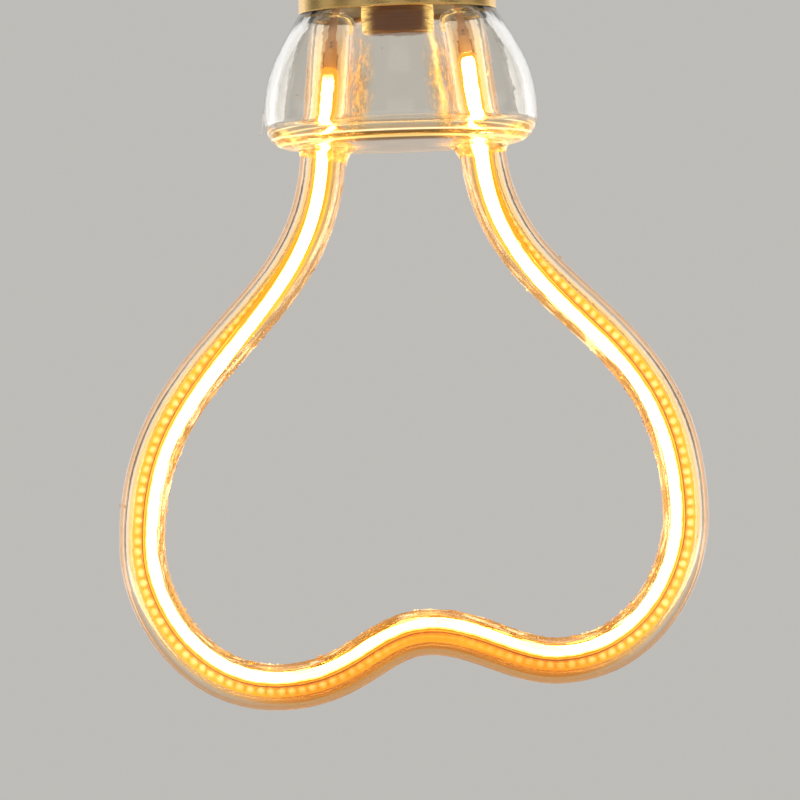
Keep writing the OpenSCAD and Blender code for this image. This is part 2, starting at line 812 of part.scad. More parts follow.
module driver_board() {
  tail_z = cup_floor_z + slide_gap;
  hole_d = 1;
  hole_in = 1.3;
  color("#2f6b3c")
    difference() {
      translate([0, board_back_y, 0]) rotate([90, 0, 0]) linear_extrude(board_t)
        union() {
          translate([-board_w / 2, board_z]) square([board_w, board_head_h]);
          translate([-board_tail_w / 2, tail_z]) square([board_tail_w, board_z - tail_z + eps]);
        }
      for (side = [left, right])
        translate([side * (board_w / 2 - hole_in), board_back_y + over, board_top_z - hole_in])
          rotate([90, 0, 0]) cylinder(d = hole_d, h = board_t + 2 * over);
    }
}

// A moulded body with gull-wing legs, standing on the board's front face at a height
module chip_package(body, z, legs, pitch) {
  stand = 0.15;
  leg_w = 0.45;
  leg_t = 0.2;
  leg_reach = 0.7;
  color("#202024")
    translate([-body[0] / 2, front_y - stand - body[1], z - body[2] / 2]) cube(body);
  color("#c0c4c8")
    for (side = [left, right]) for (i = [0:legs - 1]) {
      leg_z = z + (i - (legs - 1) / 2) * pitch - leg_w / 2;
      translate([sided(side, -body[0] / 2 - leg_reach, body[0] / 2 - eps), front_y - leg_t, leg_z])
        cube([leg_reach + eps, leg_t, leg_w]);
      translate([sided(side, -body[0] / 2 - leg_t, body[0] / 2 - eps), front_y - stand - body[1] / 2, leg_z])
        cube([leg_t + eps, stand + body[1] / 2, leg_w]);
    }
}

module bridge_rectifier() {
  chip_package(rectifier_size, rectifier_z, 2, rectifier_pitch);
}

module driver_chip() {
  chip_package(driver_size, driver_z, 4, driver_pitch);
}

module sense_resistors() {
  size = [1.2, 0.5, 2];
  x = 1.3;
  color("#26262a")
    for (side = [left, right])
      translate([side * x - size[0] / 2, front_y - size[1], board_z + 0.4]) cube(size);
}

// A can lying along X behind the board, with a rolled groove and a rubber-sealed end
module smoothing_capacitor() {
  r = capacitor_d / 2;
  groove_l = 1.2;
  groove_h = 0.4;
  edge = 0.4;
  color("#2b2f6e")
    translate([1 - board_w / 2, back_y + r, board_z + r + 0.5]) rotate([0, 90, 0])
      rotate_extrude()
        polygon([
          [0, 0], [r - edge, 0], [r, edge], [r, capacitor_l - 2 * groove_l],
          [r - groove_h, capacitor_l - 1.5 * groove_l], [r, capacitor_l - groove_l],
          [r, capacitor_l - edge], [r - edge, capacitor_l], [0, capacitor_l]
        ]);
}

// A ferrite drum standing on the board's back, with its winding between the flanges
module inductor() {
  r = inductor_d / 2;
  rim = 0.7;
  coil_r = r - 0.5;
  color("#3b3b3f")
    translate([board_w / 2 - r - 0.9, back_y, board_z + r + 0.4]) rotate([-90, 0, 0])
      rotate_extrude()
        polygon([
          [0, 0], [r, 0], [r, rim], [coil_r, rim], [coil_r, inductor_h - rim], [r, inductor_h - rim],
          [r, inductor_h], [0, inductor_h]
        ]);
}

module film_capacitor() {
  size = film_capacitor_size;
  color("#a33b2a")
    translate([board_w / 2 - size[0] - 0.6, back_y, board_top_z - size[2] - 0.2]) cube(size);
}

// An axial resistor across the board's front, its wires bent down to the board
module fuse_resistor() {
  r = fuse_d / 2;
  pin_r = 0.3;
  pin_l = 0.6;
  edge = 0.3;
  knob_l = 1.2;
  waist_r = r - 0.2;
  waist_in = knob_l + 0.4;
  x = -wire_r - 0.4 - pin_r - pin_l - fuse_l;
  z = board_top_z - r - 0.6;
  y = front_y - r;
  color("#7fb7a8")
    translate([x, y, z]) rotate([0, 90, 0])
      rotate_extrude()
        polygon([
          [0, 0], [r - edge, 0], [r, edge], [r, knob_l], [waist_r, waist_in], [waist_r, fuse_l - waist_in],
          [r, fuse_l - knob_l], [r, fuse_l - edge], [r - edge, fuse_l], [0, fuse_l]
        ]);
  color("#c0c4c8")
    for (end_x = [x - pin_l, x + fuse_l - eps])
      translate([end_x, y, z]) rotate([0, 90, 0]) cylinder(r = pin_r, h = pin_l + eps);
  color("#c0c4c8")
    for (end_x = [x - pin_l, x + fuse_l + pin_l])
      translate([end_x, y - pin_r, z]) rotate([-90, 0, 0]) cylinder(r = pin_r, h = r + pin_r);
}

// Solder over the two lead ends on their pads
module board_solder() {
  color("#b8bcc0")
    for (side = [left, right])
      difference() {
        translate([side * pad_x, front_y, pad_z]) rotate([90, 0, 0])
          rotate_extrude()
            polygon([
              [0, 0], [joint_r, 0], [joint_r * 0.8, joint_h * 0.6], [joint_r * 0.4, joint_h], [0, joint_h]
            ]);
        lead(side, seat_gap);
      }
}

// A round wire swept along a cubic curve in the XZ plane
module wire(p, r) {
  line = [for (i = [0:wire_steps]) station(cubic(p, i / wire_steps), cubic_heading(p, i / wire_steps))];
  section = [for (k = [0:wire_sides - 1])
    let (a = (k + 0.5) * 360 / wire_sides) [r * cos(a), r * sin(a)]];
  swept(section, line, [for (s = line) 0], [[for (k = [0:wire_sides - 1]) k]]);
}

// From the board's front face up into the contact's barrel
module live_wire() {
  low = [wire_y, live_bottom_z];
  color("#b5651d")
    rotate([0, 0, 90])
      wire([low, low + [0, live_low_hold], [0, barrel_z - live_high_hold], [0, live_top_z]], wire_r);
}

// From the board's front face out to the shell's inner side
module neutral_wire() {
  start = [neutral_start_x, neutral_z - neutral_drop];
  finish = [bead_x - bead_sink, neutral_z];
  hold = [neutral_hold, 0];
  color("#2f5fa8")
    translate([0, wire_y, 0]) wire([start, start + hold, finish - hold, finish], wire_r);
}

module neutral_solder() {
  color("#b8bcc0")
    translate([bead_x, wire_y, neutral_z]) rotate([0, -90, 0])
      difference() {
        rotate_extrude()
          polygon([[0, 0], [bead_r, 0], [bead_r * 0.85, bead_l * 0.6], [wire_r + 0.2, bead_l], [0, bead_l]]);
        translate([0, 0, bead_sink - slide_gap]) cylinder(r = wire_r + slide_gap, h = bead_l);
      }
}

screw_shell();
cap_insulator();
centre_contact();
centre_solder();
cap_cement();
glass_bell();
glass_loop();
filament_film();
led_chips();
front_phosphor();
back_phosphor();
left_end_tab();
right_end_tab();
left_lead();
right_lead();
left_weld();
right_weld();
driver_cup();
driver_board();
bridge_rectifier();
driver_chip();
smoothing_capacitor();
inductor();
film_capacitor();
fuse_resistor();
sense_resistors();
board_solder();
live_wire();
neutral_wire();
neutral_solder();
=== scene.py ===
import math
import random

import bmesh
import bpy
from mathutils import Matrix, Vector, noise


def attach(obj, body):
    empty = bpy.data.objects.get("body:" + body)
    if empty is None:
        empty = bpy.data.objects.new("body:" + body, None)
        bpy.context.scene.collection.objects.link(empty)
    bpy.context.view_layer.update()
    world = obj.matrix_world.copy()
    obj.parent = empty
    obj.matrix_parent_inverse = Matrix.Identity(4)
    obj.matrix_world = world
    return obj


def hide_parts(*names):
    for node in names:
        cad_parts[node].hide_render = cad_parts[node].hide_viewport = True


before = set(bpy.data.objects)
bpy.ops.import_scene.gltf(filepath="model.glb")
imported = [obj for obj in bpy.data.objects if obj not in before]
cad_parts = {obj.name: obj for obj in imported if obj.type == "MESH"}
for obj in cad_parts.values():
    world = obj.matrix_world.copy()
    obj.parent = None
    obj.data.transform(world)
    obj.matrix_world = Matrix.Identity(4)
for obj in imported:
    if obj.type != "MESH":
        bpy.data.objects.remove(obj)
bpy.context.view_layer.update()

MM = 0.001
scene = bpy.context.scene
scene.view_settings.view_transform = "Standard"


def linked(name, data):
    made = bpy.data.objects.new(name, data)
    scene.collection.objects.link(made)
    return made


def mesh_object(name, bm):
    """A new object with a bmesh's shape, which is used up."""
    data = bpy.data.meshes.new(name)
    bm.to_mesh(data)
    bm.free()
    return linked(name, data)


# Camera: far off and a little below, rolled because the lamp hangs askew

SENSOR = 36
SEEN_WIDTH = 110 * MM
AIM = Vector((-1.4, 0, -53.4)) * MM
STAND = Vector((0, -1500, -58.6)) * MM
ROLL = math.radians(1.9)


def place_camera():
    data = bpy.data.cameras.new("camera")
    data.sensor_width = SENSOR
    data.lens = SENSOR * STAND.length / SEEN_WIDTH
    data.clip_start = 0.01
    camera = linked("camera", data)
    back = STAND.normalized()
    level = Vector((1, 0, 0))
    plumb = back.cross(level)
    right = math.cos(ROLL) * level - math.sin(ROLL) * plumb
    up = math.sin(ROLL) * level + math.cos(ROLL) * plumb
    turn = Matrix((right, up, back)).transposed().to_4x4()
    camera.matrix_world = Matrix.Translation(AIM + STAND) @ turn
    scene.camera = camera


place_camera()


# Materials: a socket with arithmetic, and a material that makes its nodes

class Value:
    """A number that varies over a surface. Sums and products of it add Math nodes."""

    def __init__(self, finish, socket):
        self.finish = finish
        self.socket = socket

    def math(self, operation, *others):
        made = self.finish.node("Math", dict(enumerate((self,) + others)), operation=operation)
        return Value(self.finish, made.outputs[0])

    def __add__(self, other):
        return self.math("ADD", other)

    def __sub__(self, other):
        return self.math("SUBTRACT", other)

    def __rsub__(self, other):
        return (self * -1).math("ADD", other)

    def __mul__(self, other):
        return self.math("MULTIPLY", other)

    def __truediv__(self, other):
        return self.math("DIVIDE", other)

    def __pow__(self, other):
        return self.math("POWER", other)

    __radd__ = __add__
    __rmul__ = __mul__

    def hypot(self, other):
        return (self * self + other * other).math("SQRT")

    def ramp(self, low, high):
        """0 below low, 1 above high, smooth between. low may be the larger one."""
        sockets = {"Value": self, "From Min": low, "From Max": high}
        made = self.finish.node("MapRange", sockets, interpolation_type="SMOOTHSTEP")
        return Value(self.finish, made.outputs[0])

    def near(self, middle, reach):
        """1 at middle, 0 at reach away from it."""
        return (self - middle).math("ABSOLUTE").ramp(reach, 0)


class Nodes:
    """The nodes of one material, or of the surroundings."""

    def __init__(self, owner, output):
        owner.use_nodes = True
        self.tree = owner.node_tree
        self.tree.nodes.clear()
        self.output = self.node(output)

    def node(self, kind, sockets=None, **settings):
        made = self.tree.nodes.new("ShaderNode" + kind)
        for key, setting in settings.items():
            setattr(made, key, setting)
        for key, what in (sockets or {}).items():
            self.feed(made.inputs[key], what)
        return made

    def feed(self, socket, what):
        if isinstance(what, Value):
            what = what.socket
        if isinstance(what, bpy.types.NodeSocket):
            self.tree.links.new(what, socket)
        elif isinstance(what, tuple) and socket.type == "RGBA" and len(what) == 3:
            socket.default_value = what + (1,)
        else:
            socket.default_value = what

    def place(self):
        return self.node("TexCoord").outputs["Object"]

    def along(self):
        """The piece's own map: lengths along it in metres, and the way round it from 0 to 1."""
        return self.node("UVMap", uv_map="along").outputs[0]

    def parts(self, vector):
        made = self.node("SeparateXYZ", {0: vector})
        return [Value(self, made.outputs[k]) for k in range(3)]

    def stretched(self, vector, scale):
        return self.node("Mapping", {"Vector": vector, "Scale": scale}).outputs[0]

    def noise(self, vector, scale, detail=3, roughness=0.55):
        sockets = {"Vector": vector, "Scale": scale, "Detail": detail, "Roughness": roughness}
        return Value(self, self.node("TexNoise", sockets).outputs[0])

    def cell_edges(self, vector, scale):
        sockets = {"Vector": vector, "Scale": scale}
        made = self.node("TexVoronoi", sockets, feature="DISTANCE_TO_EDGE")
        return Value(self, made.outputs["Distance"])

    def mix(self, factor, first, second):
        """Blends two colours. Sockets 6 and 7 are the Mix node's first and second colour."""
        made = self.node("Mix", {0: factor, 6: first, 7: second}, data_type="RGBA")
        return made.outputs[2]

    def bump(self, height, depth):
        return self.node("Bump", {"Height": height, "Distance": depth}).outputs[0]

    def show(self, shader):
        self.tree.links.new(shader.outputs[0], self.output.inputs["Surface"])


class Finish(Nodes):
    """One material."""

    def __init__(self, name):
        self.material = bpy.data.materials.new(name)
        super().__init__(self.material, "OutputMaterial")

    def surface(self, sockets):
        self.show(self.node("BsdfPrincipled", sockets))
        return self.material


# The loop's line, from the left tube end to the right one, in millimetres as in the solids

BELL_H = 18.5
TUBE_TOP = 0.8
LEG_STRAIGHT = 2.5
TUBE_R = 3.25
TUBE_WALL = 0.9
TUBE_END = 3.0
HOLE_R = 0.95
DIMPLE = Vector((1.5, -BELL_H - 66.9))
CHIP_PITCH = 1.4
LEG_STEPS = 40
CURVE_STEPS = 160

# The filament's turn at both ends in degrees, and the length over which it fades
TWIST = 90
TWIST_FADE = 42


class Half:
    """One half of the heart, with the places and reaches of its three curves.

    dark is the unlit length at the tube's end, and keep the lit length that faces the viewer.
    """

    def __init__(self, side, leg_x, lean, widest, lowest, reaches, dark, keep):
        self.side = side
        self.leg_x = leg_x
        self.lean = math.radians(lean)
        self.heading = Vector((side * math.sin(self.lean), -math.cos(self.lean)))
        self.widest = Vector((side * widest[0], -BELL_H - widest[1]))
        self.lowest = Vector((side * lowest[0], -BELL_H - lowest[1]))
        self.reaches = reaches
        self.dark = dark
        self.keep = keep

    def leg(self, z):
        return Vector((self.side * (self.leg_x - (z + BELL_H) * math.tan(self.lean)), z))

    def curves(self):
        leg, flank, lobe, sole, toe, dimple = self.reaches
        foot = self.leg(-BELL_H - LEG_STRAIGHT)
        out = Vector((self.side, 0))
        drop = Vector((0, -1))
        return [
            (foot, foot + leg * self.heading, self.widest - flank * drop, self.widest),
            (self.widest, self.widest + lobe * drop, self.lowest + sole * out, self.lowest),
            (self.lowest, self.lowest - toe * out, DIMPLE + dimple * out, DIMPLE),
        ]

    def points(self):
        top, foot = self.leg(TUBE_TOP), self.leg(-BELL_H - LEG_STRAIGHT)
        found = [top.lerp(foot, i / LEG_STEPS) for i in range(LEG_STEPS)]
        for curve in self.curves():
            found += [cubic(curve, i / CURVE_STEPS) for i in range(CURVE_STEPS)]
        return found


def cubic(p, t):
    u = 1 - t
    return u**3 * p[0] + 3 * u**2 * t * p[1] + 3 * u * t**2 * p[2] + t**3 * p[3]


def smooth(t):
    t = min(1, max(0, t))
    return t * t * (3 - 2 * t)


left = Half(
    -1, leg_x=10.7, lean=6.2, widest=(37.4, 54.3), lowest=(19.2, 73.8),
    reaches=(22.8, 27.3, 8, 11.7, 10.7, 7.3), dark=8.5, keep=12,
)
right = Half(
    1, leg_x=10.9, lean=7.4, widest=(37.3, 51.7), lowest=(19.1, 71.4),
    reaches=(21.7, 28, 8, 12.3, 5.7, 6.5), dark=7.3, keep=2,
)

# The line's points, and the length up to each of them
LINE = left.points() + [DIMPLE] + right.points()[::-1]
RUN = [0]
for one, two in zip(LINE, LINE[1:]):
    RUN.append(RUN[-1] + (two - one).length)
LOOP_L = RUN[-1]
LIT_END = LOOP_L - right.dark
LIT_L = LIT_END - left.dark
DIMPLE_RUN = RUN[LINE.index(DIMPLE)]


def spot(length):
    """Point and heading at a length from the left tube end."""
    low, high = 0, len(RUN) - 1
    while high - low > 1:
        middle = (low + high) // 2
        low, high = (middle, high) if RUN[middle] <= length else (low, middle)
    share = (length - RUN[low]) / (RUN[high] - RUN[low])
    before, after = max(low - 1, 0), min(high + 1, len(RUN) - 1)
    return LINE[low].lerp(LINE[high], share), (LINE[after] - LINE[before]).normalized()


def twist(length):
    """Turn of the filament: face to the viewer at both ends, to the loop's inside between."""
    from_left = 1 - smooth((length - left.dark - left.keep) / TWIST_FADE)
    from_right = 1 - smooth((LIT_END - length - right.keep) / TWIST_FADE)
    return math.radians(TWIST * (from_left + from_right))


def beside(length, turn, inward, toward):
    """A point beside the line: inward to the loop's middle, toward the viewer, in metres."""
    point, heading = spot(length)
    n = inward * math.cos(turn) - toward * math.sin(turn)
    b = inward * math.sin(turn) + toward * math.cos(turn)
    return Vector((point.x - n * heading.y, -b, point.y + n * heading.x)) * MM


# Mesh makers

WELD = 1e-6


def piece_of(name, bm, slot, finish, replaced=()):
    """A piece of the lamp as it is seen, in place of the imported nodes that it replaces."""
    piece = mesh_object(name, bm)
    piece.data.materials.append(finish)
    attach(piece, "root")
    if replaced:
        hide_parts(*replaced)
    return piece


def wrapped(rows, columns, place, measure):
    """A grid of quads bent into shape.

    place(i, k) is where crossing i, k goes, and measure(i, k) is its point on the map.
    """
    bm = bmesh.new()
    along = bm.loops.layers.uv.new("along")
    bmesh.ops.create_grid(bm, x_segments=rows, y_segments=columns, size=0.5)
    crossing = {}
    for vert in bm.verts:
        crossing[vert] = round((vert.co.x + 0.5) * rows), round((vert.co.y + 0.5) * columns)
    for face in bm.faces:
        face.smooth = True
        for loop in face.loops:
            loop[along].uv = measure(*crossing[loop.vert])
    for vert, (i, k) in crossing.items():
        vert.co = place(i, k)
    bmesh.ops.remove_doubles(bm, verts=bm.verts, dist=WELD / 10)
    return bm


def welded(bm):
    bmesh.ops.remove_doubles(bm, verts=bm.verts, dist=WELD)
    bmesh.ops.dissolve_degenerate(bm, edges=bm.edges, dist=WELD)


def closed(bm):
    rims = [e for e in bm.edges if e.is_boundary]
    if rims:
        bmesh.ops.holes_fill(bm, edges=rims)
    bmesh.ops.recalc_face_normals(bm, faces=bm.faces)
    return bm


def sharpened(piece, degrees=35):
    piece.data.polygons.foreach_set("use_smooth", [True] * len(piece.data.polygons))
    piece.data.set_sharp_from_angle(angle=math.radians(degrees))
    return piece


def smooth_copy(node, slot, finish, edge=0.0, degrees=35):
    """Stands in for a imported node: the same shape, smooth, with its sharp edges broken."""
    bm = bmesh.new()
    bm.from_mesh(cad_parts[node].data)
    welded(bm)
    for layer in list(bm.loops.layers.uv.values()):
        bm.loops.layers.uv.remove(layer)
    piece = sharpened(piece_of(node + "_skin", bm, slot, finish, [node]), degrees)
    if edge:
        bevel = piece.modifiers.new("edge", "BEVEL")
        bevel.width = edge * MM
        bevel.segments = 2
        bevel.limit_method = "ANGLE"
        bevel.angle_limit = math.radians(degrees)
    return piece


# Glass

AMBER = (1.0, 0.46, 0.08)
CLEAR = (1.0, 0.985, 0.95)
FLOOR_T = 1.8

# The tube's inner skin lies this far from its outer one on the map
INNER_SKIN = 1.0

# Length of each leg from its end to the bell's floor
LEG_IN_BELL = BELL_H - 1.5


def turned(lit_run):
    """1 where the filament's face is to the viewer, 0 where it is to the loop's inside."""
    from_left = lit_run.ramp((left.keep + TWIST_FADE) * MM, left.keep * MM)
    from_right = lit_run.ramp((LIT_L - right.keep - TWIST_FADE) * MM, (LIT_L - right.keep) * MM)
    return from_left + from_right


def lit_tube_glass():
    """Drawn glass, clear at its dark ends.

    Where the filament shines, the tube's edges and its inner skin glow amber, and the frost on the
    loop's inner side sparkles. Inside the bell, light runs along both sides of each leg.
    """
    f = Finish("tube_glass")
    place = f.place()
    u, v, _ = f.parts(f.along())
    inner = u.ramp(0.7, 0.8)
    outer = 1 - inner
    s = u - inner * INNER_SKIN
    whole = LOOP_L * MM
    lit = s.ramp(-0.001, left.dark * MM + 0.003) * s.ramp(whole + 0.001, LIT_END * MM - 0.003)
    grazing = Value(f, f.node("LayerWeight", {"Blend": 0.5}).outputs["Facing"])
    toward_middle = (v * (2 * math.pi)).math("COSINE")
    rim = grazing.ramp(0.28, 0.5)
    dashes, fine, streaks = [
        f.noise(f.stretched(f.along(), (lengthways, around, 1)), 1, 2)
        for lengthways, around in ((170, 16), (3200, 90), (90, 34))
    ]
    frost = (toward_middle + streaks * 0.5 - 0.25).ramp(0.5, 0.92) * outer
    frost = frost * (1 - turned(s - left.dark * MM) * 0.6)
    sparks = dashes.ramp(0.56, 0.61) * fine.ramp(0.35, 0.5) * frost
    # Spots where the frost catches painted light, both in its glow and in its amber tint
    glint_spots = fine.ramp(0.4, 0.6)
    ripples = f.noise(place, 260, 2) * 0.6 + f.noise(place, 900, 2) * 0.4
    pits = f.noise(place, 2600, 2) * frost
    relief = ripples + pits * 0.6 + (fine * 0.6 + streaks * 1.6) * frost
    below = s.near(DIMPLE_RUN * MM, 0.042).ramp(0.1, 0.6)
    edge_on = grazing.ramp(0.16, 0.2) * (1 - below)
    leg = LEG_IN_BELL * MM
    in_bell = (s.ramp(leg, leg - 0.001) + s.ramp(whole - leg, whole - leg + 0.001)) * lit
    flanks = toward_middle.math("ABSOLUTE").near(0.66, 0.24)
    guided = flanks * (streaks * 0.6 + 0.6) * in_bell * outer
    inner_glow = 0.16 - edge_on * 0.12 - below * streaks * 0.1
    outer_glow = rim * 0.09 + frost * glint_spots * 0.16 + 0.02
    glow = lit * (inner * inner_glow + outer * outer_glow)
    bright = (sparks * lit).math("MAXIMUM", guided * 0.5)
    # Painted light: the glass is clear, and the amber in its base colour where the filament is lit
    # stands in for the filament's light. The amber is deeper near the dimple, painted darker at the
    # grazing edges, in dark and light spots on the frost, and paler on the inner skin where it is
    # seen edge on.
    body = f.mix(below, (1.0, 0.92, 0.78), (0.95, 0.62, 0.27))
    lit_frost_tint = f.mix(glint_spots, (0.64, 0.25, 0.03), (1.0, 0.56, 0.13))
    outer_tint = f.mix(frost, f.mix(rim, body, (0.64, 0.31, 0.14)), lit_frost_tint)
    amber = f.mix(below * streaks.ramp(0.35, 0.6), (1.0, 0.62, 0.2), (0.72, 0.38, 0.07))
    tint = f.mix(inner, outer_tint, f.mix(edge_on, amber, (1.0, 0.96, 0.88)))
    return f.surface({
        "Base Color": f.mix(lit, CLEAR, tint),
        "Roughness": frost * 0.12,
        "IOR": 1.5,
        "Transmission Weight": 1.0,
        "Normal": f.bump(relief, 0.00003),
        "Emission Color": f.mix(bright, f.mix(glow, (0, 0, 0), AMBER), (1.0, 0.78, 0.42)),
        "Emission Strength": 1.0,
    })


def bell_glass_finish():
    """Clear pressed glass, with the legs' light in it.

    Painted amber light lies in crackles and lace beside the lit legs, and painted highlights lie on
    the floor's edges. There, and in the floor, the base colour is also tinted amber as painted
    light.
    """
    f = Finish("bell_glass")
    place = f.place()
    x, y, z = f.parts(place)
    radius = x.hypot(y)
    ripples = f.noise(place, 200, 2) * 0.6 + f.noise(place, 800, 3) * 0.4
    # Crackled pattern of the painted light beside the legs
    light_crackle = f.noise(f.stretched(place, (1, 1, 0.5)), 520, 4, 0.7)
    threads = f.noise(f.stretched(place, (1, 1, 0.25)), 1500, 4, 0.65)
    beside, laces = [], []
    for half in (left, right):
        slope = math.tan(half.lean)
        leg_x = (z * -slope + (half.leg_x - BELL_H * slope) * MM) * half.side
        off = x - leg_x
        beside.append(off.hypot(y).ramp(0.0085, 0.0035) * z.ramp(-0.0065, -0.0125))
        inboard = off * -half.side + (light_crackle - 0.5) * 0.002
        band = inboard.ramp(0.0031, 0.0036) * inboard.ramp(0.0064, 0.0042)
        laces.append(band * z.ramp(-0.002, -0.009))
    beside_leg = beside[0].math("MAXIMUM", beside[1])
    lace = laces[0].math("MAXIMUM", laces[1])
    # Only the right leg, which comes last above, has a painted streak of light at its inner side,
    # on the bell's front half
    streak = inboard.near(0.0046, 0.0006) * y.ramp(0, -0.001)
    streak = streak * z.ramp(-0.002, -0.006) * z.ramp(-0.0165, -0.0145)
    lace = lace * (threads.ramp(0.4, 0.58) * 0.75 + 0.2)
    # Painted light: a crackled amber glow beside each leg, and lace of it in a band on the side
    # toward the bell's middle
    leg_glow = beside_leg * (light_crackle.ramp(0.42, 0.6) * 0.5 + 0.06)
    leg_glow = leg_glow + lace * threads.ramp(0.52, 0.62) * 0.45
    floor_top = (FLOOR_T - BELL_H) * MM
    low = z.ramp(floor_top + 0.0001, floor_top - 0.0005)
    # Painted glow in the bell's floor, stronger beside the legs
    floor_glow = low * (light_crackle * 0.3 + 0.02) * (beside_leg + 0.35)
    # Painted highlights: rings at the floor's outer and inner edges, and a line just under the
    # floor's top on the front half
    outer_ring = radius.near(0.0168, 0.0004) * z.ramp(floor_top - 0.0005, floor_top - 0.0009)
    inner_ring = radius.near(0.0146, 0.0003) * z.near(floor_top, 0.0003)
    rings = outer_ring.math("MAXIMUM", inner_ring)
    upper_line = z.near(floor_top - 0.0005, 0.00022) * y.ramp(0.002, -0.006)
    # Strength of the painted light: the most of the glow beside the legs, in the floor and in the
    # streak
    glow_share = leg_glow.math("MAXIMUM", floor_glow).math("MAXIMUM", streak * 0.8).math("MINIMUM", 1)
    # Painted light: the clear glass's base colour is tinted amber in the floor, beside the legs and
    # in the lace
    amber = low * (1 - beside_leg * 0.8) * 0.8 + beside_leg * 0.2 + lace * 0.8
    light = f.mix(glow_share, (0, 0, 0), (1.0, 0.52, 0.1))
    light = f.mix(rings, light, (1.0, 0.7, 0.25))
    return f.surface({
        "Base Color": f.mix(amber.math("MINIMUM", 1), CLEAR, (1.0, 0.62, 0.22)),
        "Roughness": 0.0,
        "IOR": 1.5,
        "Transmission Weight": 1.0,
        "Normal": f.bump(ripples, 0.00002),
        "Emission Color": f.mix(upper_line, light, (1.0, 0.86, 0.52)),
        "Emission Strength": 0.9,
    })


tube_glass = lit_tube_glass()
bell_glass = bell_glass_finish()


# Tube

TUBE_SIDES = 56
TUBE_STEPS = 420
TUBE_BUBBLES = 110
GRAINS = 420

# Depth of the outer skin's unevenness, and how close together it comes
WRINKLE, WRINKLE_SCALE = 0.16, 1.1
SAG, SAG_SCALE = 0.05, 0.22


def end_rings(radius, face):
    """The drawn-in end, from the hole to the full tube, as distances from the end and radii."""
    found = []
    for i in range(9):
        a = math.radians(90 - i * 10)
        distance = face + (TUBE_END - face) * (1 - math.sin(a))
        found.append((distance, HOLE_R + (radius - HOLE_R) * math.cos(a)))
    return found


def skin_rings(radius, face):
    ends = end_rings(radius, face)
    span = LOOP_L - 2 * TUBE_END
    middle = [(TUBE_END + span * i / TUBE_STEPS, radius) for i in range(TUBE_STEPS + 1)]
    return ends + middle + [(LOOP_L - d, r) for d, r in reversed(ends)]


def on_tube(length, radius, a):
    """A point of the tube's round section. The way round is 0 at the loop's inner side."""
    return beside(length, 0, radius * math.cos(a), radius * math.sin(a))


def standing(flat):
    """A point or heading of the loop's plane as one of the room."""
    return Vector((flat.x, 0, flat.y))


def aimed(centre, direction):
    """The move of a shape to centre, with its upright turned to direction."""
    return Matrix.Translation(centre) @ direction.to_track_quat("Z", "Y").to_matrix().to_4x4()


# How close together the unevenness of a grain comes, and how it differs from grain to grain
JAG_SCALE, JAG_SHIFT = 1.7, 5000


def scatter(bm, places, hollow, jag=0.0):
    """Adds a small ball at each place, which is a matrix and a point on the map.

    Hollow balls are air bubbles in the glass, and jag makes a ball uneven.
    """
    data = bpy.data.meshes.new("ball")
    for place, spot_on_map in places:
        ball = bmesh.new()
        along = ball.loops.layers.uv.new("along")
        bmesh.ops.create_icosphere(ball, subdivisions=2, radius=1)
        for vert in ball.verts:
            uneven = noise.noise(vert.co * JAG_SCALE + place.translation * JAG_SHIFT)
            vert.co = place @ (vert.co * (1 + jag * uneven))
        for face in ball.faces:
            face.smooth = True
            for loop in face.loops:
                loop[along].uv = spot_on_map
        if hollow:
            bmesh.ops.reverse_faces(ball, faces=ball.faces)
        ball.to_mesh(data)
        ball.free()
        bm.from_mesh(data)
    bpy.data.meshes.remove(data)


def ball_place(centre, size, length=1.0, direction=Vector((0, 0, 1))):
    shape = Matrix.Diagonal((size * MM, size * MM, size * length * MM, 1))
    return aimed(centre, direction) @ shape


# Burrs left on the loop by the bending: distance from the left tube end, way round, size
BURRS = [
    (76, 3.1, 0.2), (92, 0.1, 0.16), (118, 0.2, 0.24),
    (171, 0.4, 0.18), (197, 3.3, 0.2), (221, 3.0, 0.22),
]
GRAIN_SUNK = 0.1


def grit(count):
    """Small grains along the loop's inner side, in drifts."""
    draw = random.Random(23)
    found = []
    while len(found) < count:
        length = draw.uniform(30, 235)
        if draw.random() < noise.noise((length * 0.09, 0, 4)) * 2.2 + 0.45:
            found.append((length, draw.gauss(0, 0.4), draw.uniform(0.05, 0.14)))
    return found


